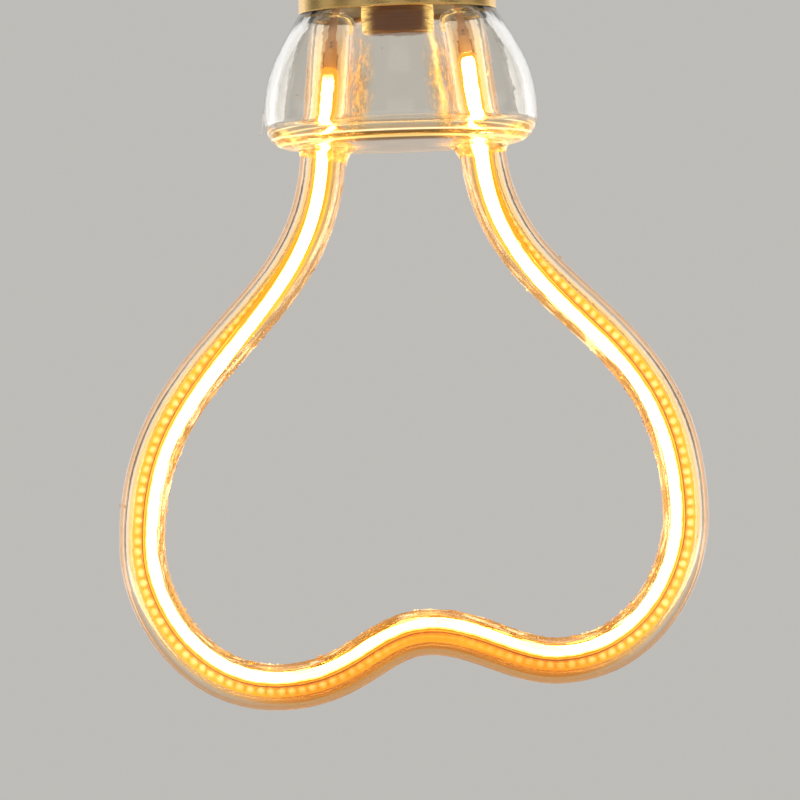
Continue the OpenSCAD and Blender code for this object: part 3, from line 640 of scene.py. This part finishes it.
def tube():
    rings = skin_rings(TUBE_R, 0) + skin_rings(TUBE_R - TUBE_WALL, TUBE_WALL)[::-1]
    outer_count = len(rings) // 2

    def place(i, k):
        row = i % len(rings)
        length, radius = rings[row]
        a = 2 * math.pi * k / TUBE_SIDES
        if row < outer_count:
            skin = on_tube(length, radius, a) / MM
            wrinkle = noise.noise(skin * WRINKLE_SCALE) * 0.5 - 0.5
            sag = noise.noise(skin * SAG_SCALE) * 0.5 - 0.5
            radius += WRINKLE * max(0, math.cos(a)) ** 2 * wrinkle + SAG * sag
        return on_tube(length, radius, a)

    def measure(i, k):
        row = i % len(rings)
        return (rings[row][0] * MM + INNER_SKIN * (row >= outer_count), k / TUBE_SIDES)

    bm = closed(wrapped(len(rings), TUBE_SIDES, place, measure))
    draw = random.Random(7)
    bubbles = []
    for _ in range(TUBE_BUBBLES):
        length = draw.uniform(TUBE_END, LOOP_L - TUBE_END)
        radius, a = draw.uniform(2.6, 3.0), draw.uniform(0, 2 * math.pi)
        size, drawn = draw.uniform(0.04, 0.1), draw.uniform(1.5, 5)
        heading = standing(spot(length)[1])
        ball = ball_place(on_tube(length, radius, a), size, drawn, heading)
        bubbles.append((ball, (length * MM, 0.5)))
    scatter(bm, bubbles, True)
    grains = []
    for length, a, size in BURRS + grit(GRAINS):
        radius = TUBE_R - GRAIN_SUNK * max(0, math.cos(a)) ** 2
        ball = ball_place(on_tube(length, radius, a), size)
        grains.append((ball, (length * MM, a / (2 * math.pi))))
    scatter(bm, grains, False, 0.5)
    piece_of("glass_tube", bm, "clear_glass", tube_glass, ["glass_loop"])


tube()


# Bell, with the radii and heights of the solid's own section

BELL_R = 18.9
BELL_WALL = 1.4
FLOOR_R = 15
WIDEST = -14.6
RIM_R = 13.6
RIM_GAP = 0.05
SEAT_R = 13.05
NECK_R = 11
NECK_BORE = 9.6
NECK_TOP = 10
COLLAR_LIP = 0.05
COLLAR_ROOT = 0.9
BELL_BUBBLES = 80

# How far into a rounded corner the handles of its curve reach
ROUND = 0.56

# The rows of the section that make the flare's outer side
FLARE = slice(15, 42)


def flat_points(*pairs):
    return [Vector(pair) for pair in pairs]


def bell_section():
    """The glass on one side of the axis: down its outer side, and up its inner one."""
    flare = math.radians(29)
    start = Vector((RIM_R, -RIM_GAP))
    slant = start + 5 * Vector((math.sin(flare), -math.cos(flare)))
    side = [start, slant] + flat_points((BELL_R, WIDEST + 7), (BELL_R, WIDEST))
    corner = flat_points(
        (BELL_R, WIDEST), (BELL_R, WIDEST - ROUND * (BELL_H + WIDEST)),
        (FLOOR_R + ROUND * (BELL_R - FLOOR_R), -BELL_H), (FLOOR_R, -BELL_H),
    )
    neck = flat_points((NECK_R, 4.6), (NECK_R, 3), (SEAT_R, 2.5), (SEAT_R, 0.9))
    floor_r, floor_z, wall_r = FLOOR_R - 0.6, -BELL_H + FLOOR_T, BELL_R - BELL_WALL
    inner_corner = flat_points(
        (floor_r, floor_z), (floor_r + ROUND * (wall_r - floor_r), floor_z),
        (wall_r, WIDEST - ROUND * (WIDEST - floor_z)), (wall_r, WIDEST),
    )
    inner_side = flat_points(
        (wall_r, WIDEST), (wall_r, WIDEST + 10), (NECK_BORE, 2.2), (NECK_BORE, 3.6)
    )
    found = flat_points((NECK_R, NECK_TOP))
    found += [cubic(neck, i / 12) for i in range(13)]
    found += flat_points((SEAT_R, -RIM_GAP))
    found += [cubic(side, i / 28) for i in range(29)]
    found += [cubic(corner, i / 20) for i in range(1, 21)]
    found += [Vector((FLOOR_R * (1 - i / 15), -BELL_H)) for i in range(1, 16)]
    found += [Vector((floor_r * i / 15, floor_z)) for i in range(15)]
    found += [cubic(inner_corner, i / 20) for i in range(21)]
    found += [cubic(inner_side, i / 28) for i in range(1, 29)]
    return found + flat_points((NECK_BORE, NECK_TOP))


def spun(section, segments):
    """A closed section turned once round the axis."""
    bm = bmesh.new()
    verts = [bm.verts.new((p.x * MM, 0, p.y * MM)) for p in section]
    edges = [bm.edges.new(pair) for pair in zip(verts, verts[1:] + verts[:1])]
    bmesh.ops.spin(
        bm, geom=verts + edges, cent=(0, 0, 0), axis=(0, 0, 1), angle=2 * math.pi,
        steps=segments, use_merge=True,
    )
    welded(bm)
    bmesh.ops.recalc_face_normals(bm, faces=bm.faces)
    for face in bm.faces:
        face.smooth = True
    return bm


def melted_collar(half, spread, height):
    """Fillet of melted glass round a leg.

    spread and height are each given at its side to the bell's middle and at its outer side.
    """
    around = 144
    turns = [0] + [math.radians(5 * i) for i in range(19)]

    def place(i, k):
        a = 2 * math.pi * (k % around) / around
        out = Vector((math.cos(a), math.sin(a), 0))
        to_middle = 0.5 - 0.5 * half.side * out.x
        reach = spread[1] + (spread[0] - spread[1]) * to_middle
        drop = (height[1] + (height[0] - height[1]) * to_middle) * (1 - math.cos(turns[i]))
        folds = noise.noise(Vector((out.x * 2.1, out.y * 2.1, drop * 0.5 + half.side * 9)))
        folds += 0.5 * noise.noise(Vector((out.x * 6, out.y * 6, drop * 0.9 + half.side * 5)))
        fall = 1 - math.sin(turns[i])
        drop *= 1 + 0.3 * folds
        radius = TUBE_R + COLLAR_LIP + reach * fall * (1 + 0.35 * folds)
        z = -BELL_H - drop if i else -BELL_H + COLLAR_ROOT
        return (Vector((half.leg(z).x, 0, z)) + out * radius) * MM

    return closed(wrapped(len(turns) - 1, around, place, lambda i, k: (0, 0)))


def joined(piece, tools, operation):
    """Applies booleans with the tools in turn and removes them."""
    for tool in tools:
        cut = piece.modifiers.new("cut", "BOOLEAN")
        cut.operation = operation
        cut.solver = "EXACT"
        cut.object = tool
        bpy.context.view_layer.update()
        graph = bpy.context.evaluated_depsgraph_get()
        data = bpy.data.meshes.new_from_object(piece.evaluated_get(graph))
        piece.modifiers.clear()
        piece.data = data
        bpy.data.objects.remove(tool)


def leg_bore(half):
    """A rod a little thicker than the tube, to cut the bell's floor open for it."""
    bore = (TUBE_R + COLLAR_LIP) * MM
    bm = bmesh.new()
    bmesh.ops.create_cone(
        bm, cap_ends=True, segments=128, radius1=bore, radius2=bore, depth=12 * MM
    )
    aim = aimed(standing(half.leg(-BELL_H)) * MM, standing(half.heading))
    bmesh.ops.transform(bm, matrix=aim, verts=bm.verts)
    return mesh_object("tool", bm)


def bell():
    section = bell_section()
    piece = piece_of("bell", spun(section, 160), "clear_glass", bell_glass, ["glass_bell"])
    collars = [
        melted_collar(left, spread=(2.1, 0.5), height=(2.3, 1.2)),
        melted_collar(right, spread=(2.3, 1.3), height=(2.0, 1.3)),
    ]
    joined(piece, [mesh_object("tool", collar) for collar in collars], "UNION")
    joined(piece, [leg_bore(half) for half in (left, right)], "DIFFERENCE")
    bm = bmesh.new()
    bm.from_mesh(piece.data)
    draw = random.Random(11)
    wall = section[FLARE]
    places = []
    for _ in range(BELL_BUBBLES):
        k = draw.randrange(len(wall) - 1)
        along = (wall[k + 1] - wall[k]).normalized()
        middle = wall[k] + BELL_WALL / 2 * Vector((along.y, -along.x))
        a = draw.uniform(0, 2 * math.pi)
        centre = Vector((middle.x * math.cos(a), middle.x * math.sin(a), middle.y)) * MM
        places.append((ball_place(centre, draw.uniform(0.04, 0.09), draw.uniform(1, 2.5)), (0, 0)))
    scatter(bm, places, True)
    bm.to_mesh(piece.data)
    bm.free()
    sharpened(piece, 40)


BURR_CURVE = flat_points((-18.87, -13.2), (-18.98, -14.2), (-19.02, -15.1), (-19.2, -15.8))
BURR_TIP = Vector((-19.5, -16.35))
BURR_Y = -0.6
BURR_SIDES = 8


def burr_thread():
    """A thread of glass that stands off the bell's left side."""
    line = [cubic(BURR_CURVE, i / 12) for i in range(12)]
    line += [BURR_CURVE[3].lerp(BURR_TIP, i / 4) for i in range(5)]

    def place(i, k):
        a = 2 * math.pi * (k % BURR_SIDES) / BURR_SIDES
        radius = 0.075 - 0.03 * i / len(line)
        x, y = line[i].x + radius * math.cos(a), BURR_Y + radius * math.sin(a)
        return Vector((x, y, line[i].y)) * MM

    bm = closed(wrapped(len(line) - 1, BURR_SIDES, place, lambda i, k: (0, 0)))
    piece_of("burr_thread", bm, "clear_glass", bell_glass)


bell()
burr_thread()


# Filament, with heights from the middle of the film's thickness

FILM_FACE = 0.1
BEAD_W = 2.6
FRONT_H = 1.9
BACK_H = 1.3
RIND = 0.3
CHANNEL_W = 0.7
CHANNEL_H = 0.45
CORE_BASE = 0.15
CORE_TOP_GAP = 0.04
CORE_CHANNEL_GAP = 0.06

# The chips' number, and where on the lit length the first one sits
CHIP_COUNT = math.floor((LIT_L - CHIP_PITCH) / CHIP_PITCH)
CHIP_START = (LIT_L - (CHIP_COUNT - 1) * CHIP_PITCH) / 2

# Steps of the arc in a section, and all the points round it
FRONT_STEPS = 18
BACK_STEPS = 16
BACK_COLUMNS = BACK_STEPS + 6
CORE_STEPS = 16
CORE_COLUMNS = CORE_STEPS + 5
STRIP_ROWS = 640


def white_hot():
    """The lit core under the front silicone, amber at its edges and ends."""
    f = Finish("white_hot_core")
    shades = f.noise(f.place(), 700, 2)
    s, v, _ = f.parts(f.along())
    face_on = turned(s + (CHIP_START - CHIP_PITCH / 2) * MM)
    height = (v * (math.pi * CORE_COLUMNS / CORE_STEPS)).math("SINE")
    height = height + (shades - 0.5) * (1 - face_on) * 0.16
    left_half = s.ramp(LIT_L * MM / 2 + 0.001, LIT_L * MM / 2)
    glow_share = height.ramp(0, face_on * left_half * 0.3 + 0.3)
    ends = s.ramp(-0.001, 0.0006) * s.ramp(LIT_L * MM, LIT_L * MM - 0.0018)
    white = f.mix(shades, (1.0, 0.9, 0.7), (1.0, 0.95, 0.8))
    return f.surface({
        "Base Color": (0.1, 0.05, 0.01),
        "Roughness": 0.5,
        "Emission Color": f.mix((glow_share * ends) ** 2, (0.05, 0.019, 0.0012), white),
        "Emission Strength": 16.0,
    })


def front_bead_finish():
    """Soft amber silicone: it lets light through, and glows with what it takes from it."""
    f = Finish("front_silicone")
    grain = f.noise(f.place(), 1300, 3)
    return f.surface({
        "Base Color": f.mix(grain, (1.0, 0.7, 0.24), (1.0, 0.8, 0.36)),
        "Roughness": 0.0,
        "IOR": 1.03,
        "Transmission Weight": 1.0,
        "Emission Color": f.mix(grain, (0.4, 0.18, 0.014), (0.6, 0.29, 0.026)),
        "Emission Strength": 1.0,
    })


def back_bead_finish():
    """Amber back silicone, darker at the film. The chips' light shows in it as soft beads."""
    f = Finish("back_silicone")
    s, v, _ = f.parts(f.along())
    height = (v * (math.pi * BACK_COLUMNS / BACK_STEPS)).math("SINE")
    place = f.place()
    wander = f.noise(place, 500, 2) - 0.5
    phase = (s / (CHIP_PITCH * MM) + wander * 0.4).math("FRACT") - 0.5
    level = height - 0.4 - wander * 0.25
    shine = f.noise(place, 900, 3)
    off = (phase * (shine + 1.6)).hypot(level * (3.1 - shine * 2.2))
    uneven = f.noise(f.stretched(f.along(), (350, 0, 1)), 1, 2).ramp(0.3, 0.65) * 0.6 + 0.4
    at_dimple = s.near((DIMPLE_RUN - left.dark) * MM, 0.022)
    bead = off.ramp(1.0, 0.15) * uneven * (1 - turned(s) * 1.1) * (1 - at_dimple * 0.9) * 1.3
    body = f.mix(height.ramp(0.05, 0.35), (0.3, 0.13, 0.0), (0.88, 0.42, 0.025))
    body = f.mix(height.near(0.5, 0.5) * 0.55 + shine * 0.4 - 0.15, body, (1.0, 0.67, 0.085))
    gap = phase.math("ABSOLUTE").ramp(0.26, 0.46) * shine.ramp(0.35, 0.55)
    gap = gap * height.ramp(0.1, 0.3) * height.ramp(0.9, 0.6)
    body = f.mix(gap * (1 - turned(s)) * (1 - at_dimple) * 0.7, body, (0.48, 0.24, 0.008))
    return f.surface({
        "Base Color": (0.8, 0.4, 0.05),
        "Roughness": 0.35,
        "Emission Color": f.mix(bead.math("MAXIMUM", 0), body, (1.0, 0.95, 0.62)),
        "Emission Strength": 1.15,
    })


def drawn_in(length, inward, toward):
    """Flattens the lit core and narrows it, where the filament turns its face to the viewer.

    Its edge to the loop's middle is drawn in more than the other, and most on the left.
    """
    share = smooth(2 * twist(length) / math.radians(TWIST))
    beyond = max(0, abs(toward) - CHANNEL_W / 2)
    above = max(0, inward - CHANNEL_H - CORE_CHANNEL_GAP)
    inner_edge = 0.6 if length < DIMPLE_RUN else 0.2
    drawn = 0.1 if toward > 0 else inner_edge
    toward -= math.copysign(beyond * share * drawn, toward)
    return inward - above * share * 0.45, toward


def strip(name, section, slot, finish, replaced=(), trim=0.0, ends_round=1.2, shaped=None):
    """A closed section swept along the lit line with the filament's turn, its ends rounded off.

    Its map starts half a chip before chip 1.
    """
    columns = len(section)
    start, end = left.dark + trim, LIT_END - trim

    def length_at(i):
        return start + (end - start) * i / STRIP_ROWS

    def place(i, k):
        length = length_at(i)
        from_end = min(1, min(length - start, end - length) / ends_round)
        size = math.sqrt(max(0.0, 1 - (1 - from_end) ** 2)) * 0.35 + 0.65
        inward, toward = section[k % columns]
        if shaped:
            inward, toward = shaped(length, inward, toward)
        return beside(length, twist(length), inward * size, toward * size)

    def measure(i, k):
        return ((length_at(i) - left.dark - CHIP_START + CHIP_PITCH / 2) * MM, k / columns)

    bm = closed(wrapped(STRIP_ROWS, columns, place, measure))
    return piece_of(name, bm, slot, finish, replaced)


def dome(base, height, width, steps, channel_h=0.0):
    """Half an ellipse over the film, with a channel for the chips up to channel_h."""
    turns = [math.pi * i / steps - math.pi / 2 for i in range(steps + 1)]
    arc = [(base + height * math.cos(a), width / 2 * math.sin(a)) for a in turns]
    if not channel_h:
        return arc + [(base, width * (0.4 - 0.8 * i / 4)) for i in range(5)]
    half = CHANNEL_W / 2
    return arc + [(base, half), (channel_h, half), (channel_h, -half), (base, -half)]


front = dome(FILM_FACE, FRONT_H, BEAD_W, FRONT_STEPS, CHANNEL_H)
core = dome(
    FILM_FACE + CORE_BASE, FRONT_H - CORE_BASE - CORE_TOP_GAP, BEAD_W - 2 * RIND,
    CORE_STEPS, CHANNEL_H + CORE_CHANNEL_GAP,
)
back = [(-inward, toward) for inward, toward in dome(FILM_FACE, BACK_H, BEAD_W, BACK_STEPS)]
strip("front_bead", front, "front_bead", front_bead_finish(), ["front_phosphor"])
strip("front_core", core, "front_bead", white_hot(), trim=0.5, ends_round=1.0, shaped=drawn_in)
strip("back_bead", back, "back_bead", back_bead_finish(), ["back_phosphor"])


def film_finish():
    """Amber film with a little of the light in it."""
    f = Finish("polyimide")
    grain = f.noise(f.place(), 900, 2)
    return f.surface({
        "Base Color": f.mix(grain, (0.11, 0.034, 0.003), (0.16, 0.056, 0.006)),
        "Roughness": grain * 0.2 + 0.35,
        "Emission Color": (1.0, 0.38, 0.03),
        "Emission Strength": 0.2,
    })


def chip_finish():
    f = Finish("lit_chip")
    shades = f.noise(f.place(), 3000, 1)
    return f.surface({
        "Base Color": (0.2, 0.12, 0.03),
        "Roughness": 0.3,
        "Emission Color": f.mix(shades, (1.0, 0.5, 0.07), (1.0, 0.62, 0.13)),
        "Emission Strength": 1.1,
    })


def metal(name, light, dark, rough, scale, depth=0.00002, stretch=(1, 1, 1)):
    """Metal with darker drifts of tarnish and a fine rolled or drawn grain."""
    f = Finish(name)
    place = f.place()
    drifts = f.noise(place, scale * 0.15, 4)
    grain = f.noise(f.stretched(place, stretch), scale, 3)
    return f.surface({
        "Base Color": f.mix(drifts.ramp(0.3, 0.75), light, dark),
        "Metallic": 1.0,
        "Roughness": grain * 0.12 + drifts * 0.1 + rough,
        "Normal": f.bump(grain, depth),
    })


def plastic(name, light, dark, rough, scale=700, depth=0.00002):
    """Moulded, cast or dipped stuff with soft drifts of shade and a fine grain."""
    f = Finish(name)
    place = f.place()
    drifts = f.noise(place, scale * 0.2, 3)
    grain = f.noise(place, scale * 3, 2)
    return f.surface({
        "Base Color": f.mix(drifts, light, dark),
        "Roughness": grain * 0.15 + drifts * 0.1 + rough,
        "Normal": f.bump(grain, depth),
    })


tab_metal = metal("tab_metal", (0.95, 0.72, 0.45), (0.8, 0.55, 0.3), 0.3, 1500)
lead_metal = metal("lead_metal", (0.9, 0.62, 0.38), (0.66, 0.4, 0.22), 0.28, 1500)
weld_metal = metal("weld_metal", (0.45, 0.4, 0.35), (0.2, 0.17, 0.15), 0.35, 3000)
solder_metal = metal("solder_metal", (0.78, 0.79, 0.8), (0.55, 0.56, 0.57), 0.18, 800)
brass = metal("rolled_brass", (1.0, 0.7, 0.28), (0.9, 0.54, 0.16), 0.17, 500, 0.000012, (1, 1, 6))
contact_metal = metal("contact_metal", (0.84, 0.7, 0.42), (0.58, 0.44, 0.22), 0.22, 900)
insulator_black = plastic("insulator_black", (0.02, 0.02, 0.024), (0.04, 0.04, 0.045), 0.15)
cement_beige = plastic("cement_beige", (0.72, 0.66, 0.52), (0.5, 0.44, 0.33), 0.6, 900, 0.00006)

smooth_copy("filament_film", "film", film_finish())
chip_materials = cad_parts["led_chips"].data.materials
chip_materials.clear()
chip_materials.append(chip_finish())
for side in ("left", "right"):
    smooth_copy(side + "_end_tab", "tab_metal", tab_metal, 0.03)
    smooth_copy(side + "_lead", "lead_metal", lead_metal, 0.03)
    smooth_copy(side + "_weld", "weld_metal", weld_metal, 0.03)


# Cap

PITCH = 3.629
CREST_R = 13.1
ROOT_R = 12.15
THREAD_LOW = 5.3
THREAD_HIGH = THREAD_LOW + 4 * PITCH
SHELL_TOP = 21.116
SHELL_WALL = 0.35
MOUTH_R = 9.8
RIM_H = 4.4
RIM_CHAMFER = 0.12
BAND_LOW = 0.3

# The wall stands out a little below the thread, and falls back over this height
WALL_SWELL, SWELL_H = 0.2, 1.2

# Turns over which the thread rises from the wall, and sinks back into it
THREAD_RISE, THREAD_FALL = 0.6, 0.45

# The shell's rounded crown: in from the thread's root, and down from the top
CROWN = [(0, 0.9), (0.1, 0.55), (0.35, 0.22), (0.75, 0.04), (1.1, 0)]


def threaded_shell():
    """Brass shell with a true right-hand rolled helix that runs out of the wall and back in."""
    around = 144
    heights = [0, RIM_CHAMFER, BAND_LOW] + [BAND_LOW + 4 * i / 10 for i in range(1, 11)]
    heights += [RIM_H + i * (THREAD_LOW - RIM_H) / 4 for i in range(1, 4)]
    heights += [THREAD_LOW + i * (THREAD_HIGH - THREAD_LOW) / 96 for i in range(97)]
    outside = [(None, z) for z in heights]
    outside += [(ROOT_R - inward, SHELL_TOP - down) for inward, down in CROWN]
    outside.append((MOUTH_R, SHELL_TOP))

    def radius_at(z, share):
        if z <= RIM_H:
            return RIM_R - max(0, RIM_CHAMFER - z)
        if z < THREAD_LOW:
            fallen = smooth((z - RIM_H) / (THREAD_LOW - RIM_H))
            return RIM_R + (ROOT_R + WALL_SWELL - RIM_R) * fallen
        phase = (z - THREAD_LOW) / PITCH - share
        wave = 0.5 - 0.5 * math.cos(2 * math.pi * phase)
        lead = smooth(phase / THREAD_RISE) * smooth((THREAD_HIGH - z) / PITCH / THREAD_FALL)
        base = ROOT_R + WALL_SWELL * smooth(1 - (z - THREAD_LOW) / SWELL_H)
        return base + (CREST_R - base) * wave**0.8 * lead

    def place(i, k):
        radius, z = outside[i]
        share = (k % around) / around
        if radius is None:
            radius = radius_at(z, share)
        a = 2 * math.pi * share
        return Vector((radius * math.cos(a), radius * math.sin(a), z)) * MM

    def measure(i, k):
        return (outside[i][1] * MM, k / around)

    bm = wrapped(len(outside) - 1, around, place, measure)
    bmesh.ops.recalc_face_normals(bm, faces=bm.faces)
    if sum(f.normal.dot(f.calc_center_median()) for f in bm.faces) < 0:
        bmesh.ops.reverse_faces(bm, faces=bm.faces)
    piece = piece_of("threaded_shell", bm, "cap_brass", brass, ["screw_shell"])
    wall = piece.modifiers.new("wall", "SOLIDIFY")
    wall.thickness = SHELL_WALL * MM
    wall.offset = -1


threaded_shell()
smooth_copy("cap_insulator", "insulator", insulator_black, 0.08)
smooth_copy("centre_contact", "contact_metal", contact_metal, 0.05)
smooth_copy("centre_solder", "solder", solder_metal, 0.05)
smooth_copy("cap_cement", "cement", cement_beige, 0.05)


# Driver

def cup_finish():
    """Dark brown moulding with fine turned lines round it, with painted light from the legs:
    painted highlights at both sides and a faint amber glow all over.
    """
    f = Finish("cup_brown")
    place = f.place()
    x, _, z = f.parts(place)
    lines = (z * 9000).math("SINE") * 0.5 + f.noise(f.stretched(place, (1, 1, 14)), 500, 2)
    drifts = f.noise(place, 140, 3)
    # Painted highlights of the legs' light on both flanks, broken into bands
    bands = f.noise(f.stretched(place, (1, 1, 6)), 500, 3).ramp(0.32, 0.6) * 0.7 + 0.3
    lit_flank = x.math("ABSOLUTE").ramp(0.003, 0.0049) ** 1.5 * bands
    return f.surface({
        "Base Color": f.mix(drifts, (0.07, 0.025, 0.007), (0.15, 0.06, 0.018)),
        "Roughness": drifts * 0.15 + 0.22,
        "Coat Weight": 0.2,
        "Normal": f.bump(lines, 0.00002),
        "Emission Color": f.mix(lit_flank, (0.03, 0.009, 0.0005), (1.0, 0.66, 0.2)),
        "Emission Strength": 1.6,
    })


def board_finish():
    """Green solder mask, lighter where copper tracks lie under it."""
    f = Finish("board_green")
    place = f.place()
    tracks = f.cell_edges(f.stretched(place, (1, 0, 1)), 420).ramp(0.05, 0.12)
    grain = f.noise(place, 1500, 2)
    return f.surface({
        "Base Color": f.mix(tracks, (0.1, 0.3, 0.08), (0.03, 0.15, 0.06)),
        "Roughness": grain * 0.15 + 0.3,
        "Coat Weight": 0.4,
        "Normal": f.bump(1 - tracks, 0.00003),
    })


PACKAGE_HALF_W = 1.97 * MM


def packaged(name):
    """Black moulding with tinned legs at its sides."""
    f = Finish(name)
    place = f.place()
    x, _, _ = f.parts(place)
    legs = x.math("ABSOLUTE").ramp(PACKAGE_HALF_W - 0.00001, PACKAGE_HALF_W)
    grain = f.noise(place, 4000, 2)
    return f.surface({
        "Base Color": f.mix(legs, (0.02, 0.02, 0.023), (0.75, 0.75, 0.76)),
        "Metallic": legs,
        "Roughness": grain * 0.2 + 0.35 - legs * 0.2,
        "Normal": f.bump(grain, 0.00002),
    })


resistor_black = plastic("resistor_black", (0.02, 0.02, 0.02), (0.05, 0.05, 0.06), 0.3)
sleeve_blue = plastic("sleeve_blue", (0.02, 0.03, 0.12), (0.04, 0.05, 0.2), 0.25)
ferrite_grey = plastic("ferrite_grey", (0.05, 0.05, 0.055), (0.09, 0.09, 0.1), 0.55)
coated_red = plastic("coated_red", (0.4, 0.06, 0.03), (0.55, 0.12, 0.06), 0.25)
lacquer_green = plastic("lacquer_green", (0.28, 0.5, 0.44), (0.2, 0.4, 0.36), 0.3)
sleeve_brown = plastic("sleeve_brown", (0.3, 0.1, 0.03), (0.4, 0.16, 0.05), 0.35)
sleeve_neutral = plastic("sleeve_neutral", (0.04, 0.12, 0.4), (0.07, 0.18, 0.5), 0.35)

for node, slot, finish, edge in (
    ("driver_cup", "cup", cup_finish(), 0.08),
    ("driver_board", "board", board_finish(), 0.04),
    ("bridge_rectifier", "package", packaged("rectifier_black"), 0.04),
    ("driver_chip", "package", packaged("chip_black"), 0.04),
    ("sense_resistors", "package", resistor_black, 0.04),
    ("smoothing_capacitor", "capacitor_can", sleeve_blue, 0.04),
    ("inductor", "ferrite", ferrite_grey, 0.04),
    ("film_capacitor", "capacitor_box", coated_red, 0.25),
    ("fuse_resistor", "resistor_body", lacquer_green, 0.04),
    ("board_solder", "solder", solder_metal, 0.04),
):
    smooth_copy(node, slot, finish, edge)
smooth_copy("live_wire", "live_insulation", sleeve_brown, degrees=60)
smooth_copy("neutral_wire", "neutral_insulation", sleeve_neutral, degrees=60)
smooth_copy("neutral_solder", "solder", solder_metal, 0.04)

# The clear pieces cast no shadow, which would come out too dark
for name in ("glass_tube", "bell", "front_bead", "back_bead"):
    bpy.data.objects[name].visible_shadow = False


# Room: a pale floor that melts into the pale surroundings, and soft boxes

PALE = (0.52, 0.505, 0.48)
FLOOR_Z = -0.22
LAMP_MIDDLE = Vector((0, 0, -0.04))
GAPS_ROUND = 8


def floor():
    bm = bmesh.new()
    bmesh.ops.create_circle(bm, cap_ends=True, radius=5, segments=96)
    bmesh.ops.translate(bm, verts=bm.verts, vec=(0, 0, FLOOR_Z))
    piece = mesh_object("floor", bm)
    f = Finish("pale_floor")
    x, y, _ = f.parts(f.place())
    far = x.hypot(y).ramp(0.2, 0.7)
    near_floor = f.node("BsdfDiffuse", {"Color": (0.5, 0.49, 0.465)})
    far_floor = f.node("Emission", {"Color": PALE, "Strength": 1.0})
    blend = f.node("MixShader", {0: far, 1: near_floor.outputs[0], 2: far_floor.outputs[0]})
    open_below = f.node("BsdfTransparent")
    under = f.node("NewGeometry").outputs["Backfacing"]
    f.show(f.node("MixShader", {0: under, 1: blend.outputs[0], 2: open_below.outputs[0]}))
    piece.data.materials.append(f.material)


def surroundings():
    """Even light. The room is pale all round, but glass and metal see darker gaps in it."""
    scene.world = bpy.data.worlds.new("surroundings")
    f = Nodes(scene.world, "OutputWorld")
    rays = f.node("LightPath").outputs
    x, y, z = f.parts(f.node("TexCoord").outputs["Generated"])
    round_it = (y.math("ARCTAN2", x) * GAPS_ROUND).math("COSINE")
    up_it = (z.math("ARCSINE") * GAPS_ROUND).math("COSINE")
    open_share = (round_it.ramp(-0.3, 0.3) * up_it.ramp(-0.3, 0.3)) * 0.7 + 0.3
    seen = f.node("Background", {"Color": PALE})
    gapped = f.node("Background", {"Color": f.mix(open_share, (0, 0, 0), PALE)})
    light = f.node("Background", {"Color": (0.6, 0.6, 0.6)})
    through = Value(f, rays["Is Transmission Ray"]).math("MAXIMUM", Value(f, rays["Is Glossy Ray"]))
    blend = f.node("MixShader", {0: through, 1: light.outputs[0], 2: gapped.outputs[0]})
    f.show(f.node("MixShader", {0: rays["Is Camera Ray"], 1: blend.outputs[0], 2: seen.outputs[0]}))


def soft_box(name, place, size, brightness):
    """A rectangular soft light aimed at the lamp's middle. brightness is what its face shows."""
    data = bpy.data.lights.new(name, "AREA")
    data.shape = "RECTANGLE"
    data.size, data.size_y = size
    data.energy = brightness * math.pi * size[0] * size[1]
    light = linked(name, data)
    light.location = place
    aim = LAMP_MIDDLE - Vector(place)
    light.rotation_euler = aim.to_track_quat("-Z", "Y").to_euler()
    light.visible_camera = False


floor()
surroundings()
soft_box("left_box", (-0.45, 0.83, 0.05), (0.55, 0.9), 0.8)
soft_box("right_box", (0.45, 0.83, 0.05), (0.55, 0.9), 0.8)
soft_box("top_box", (0.0, 0.3, 1.0), (0.7, 0.7), 2)
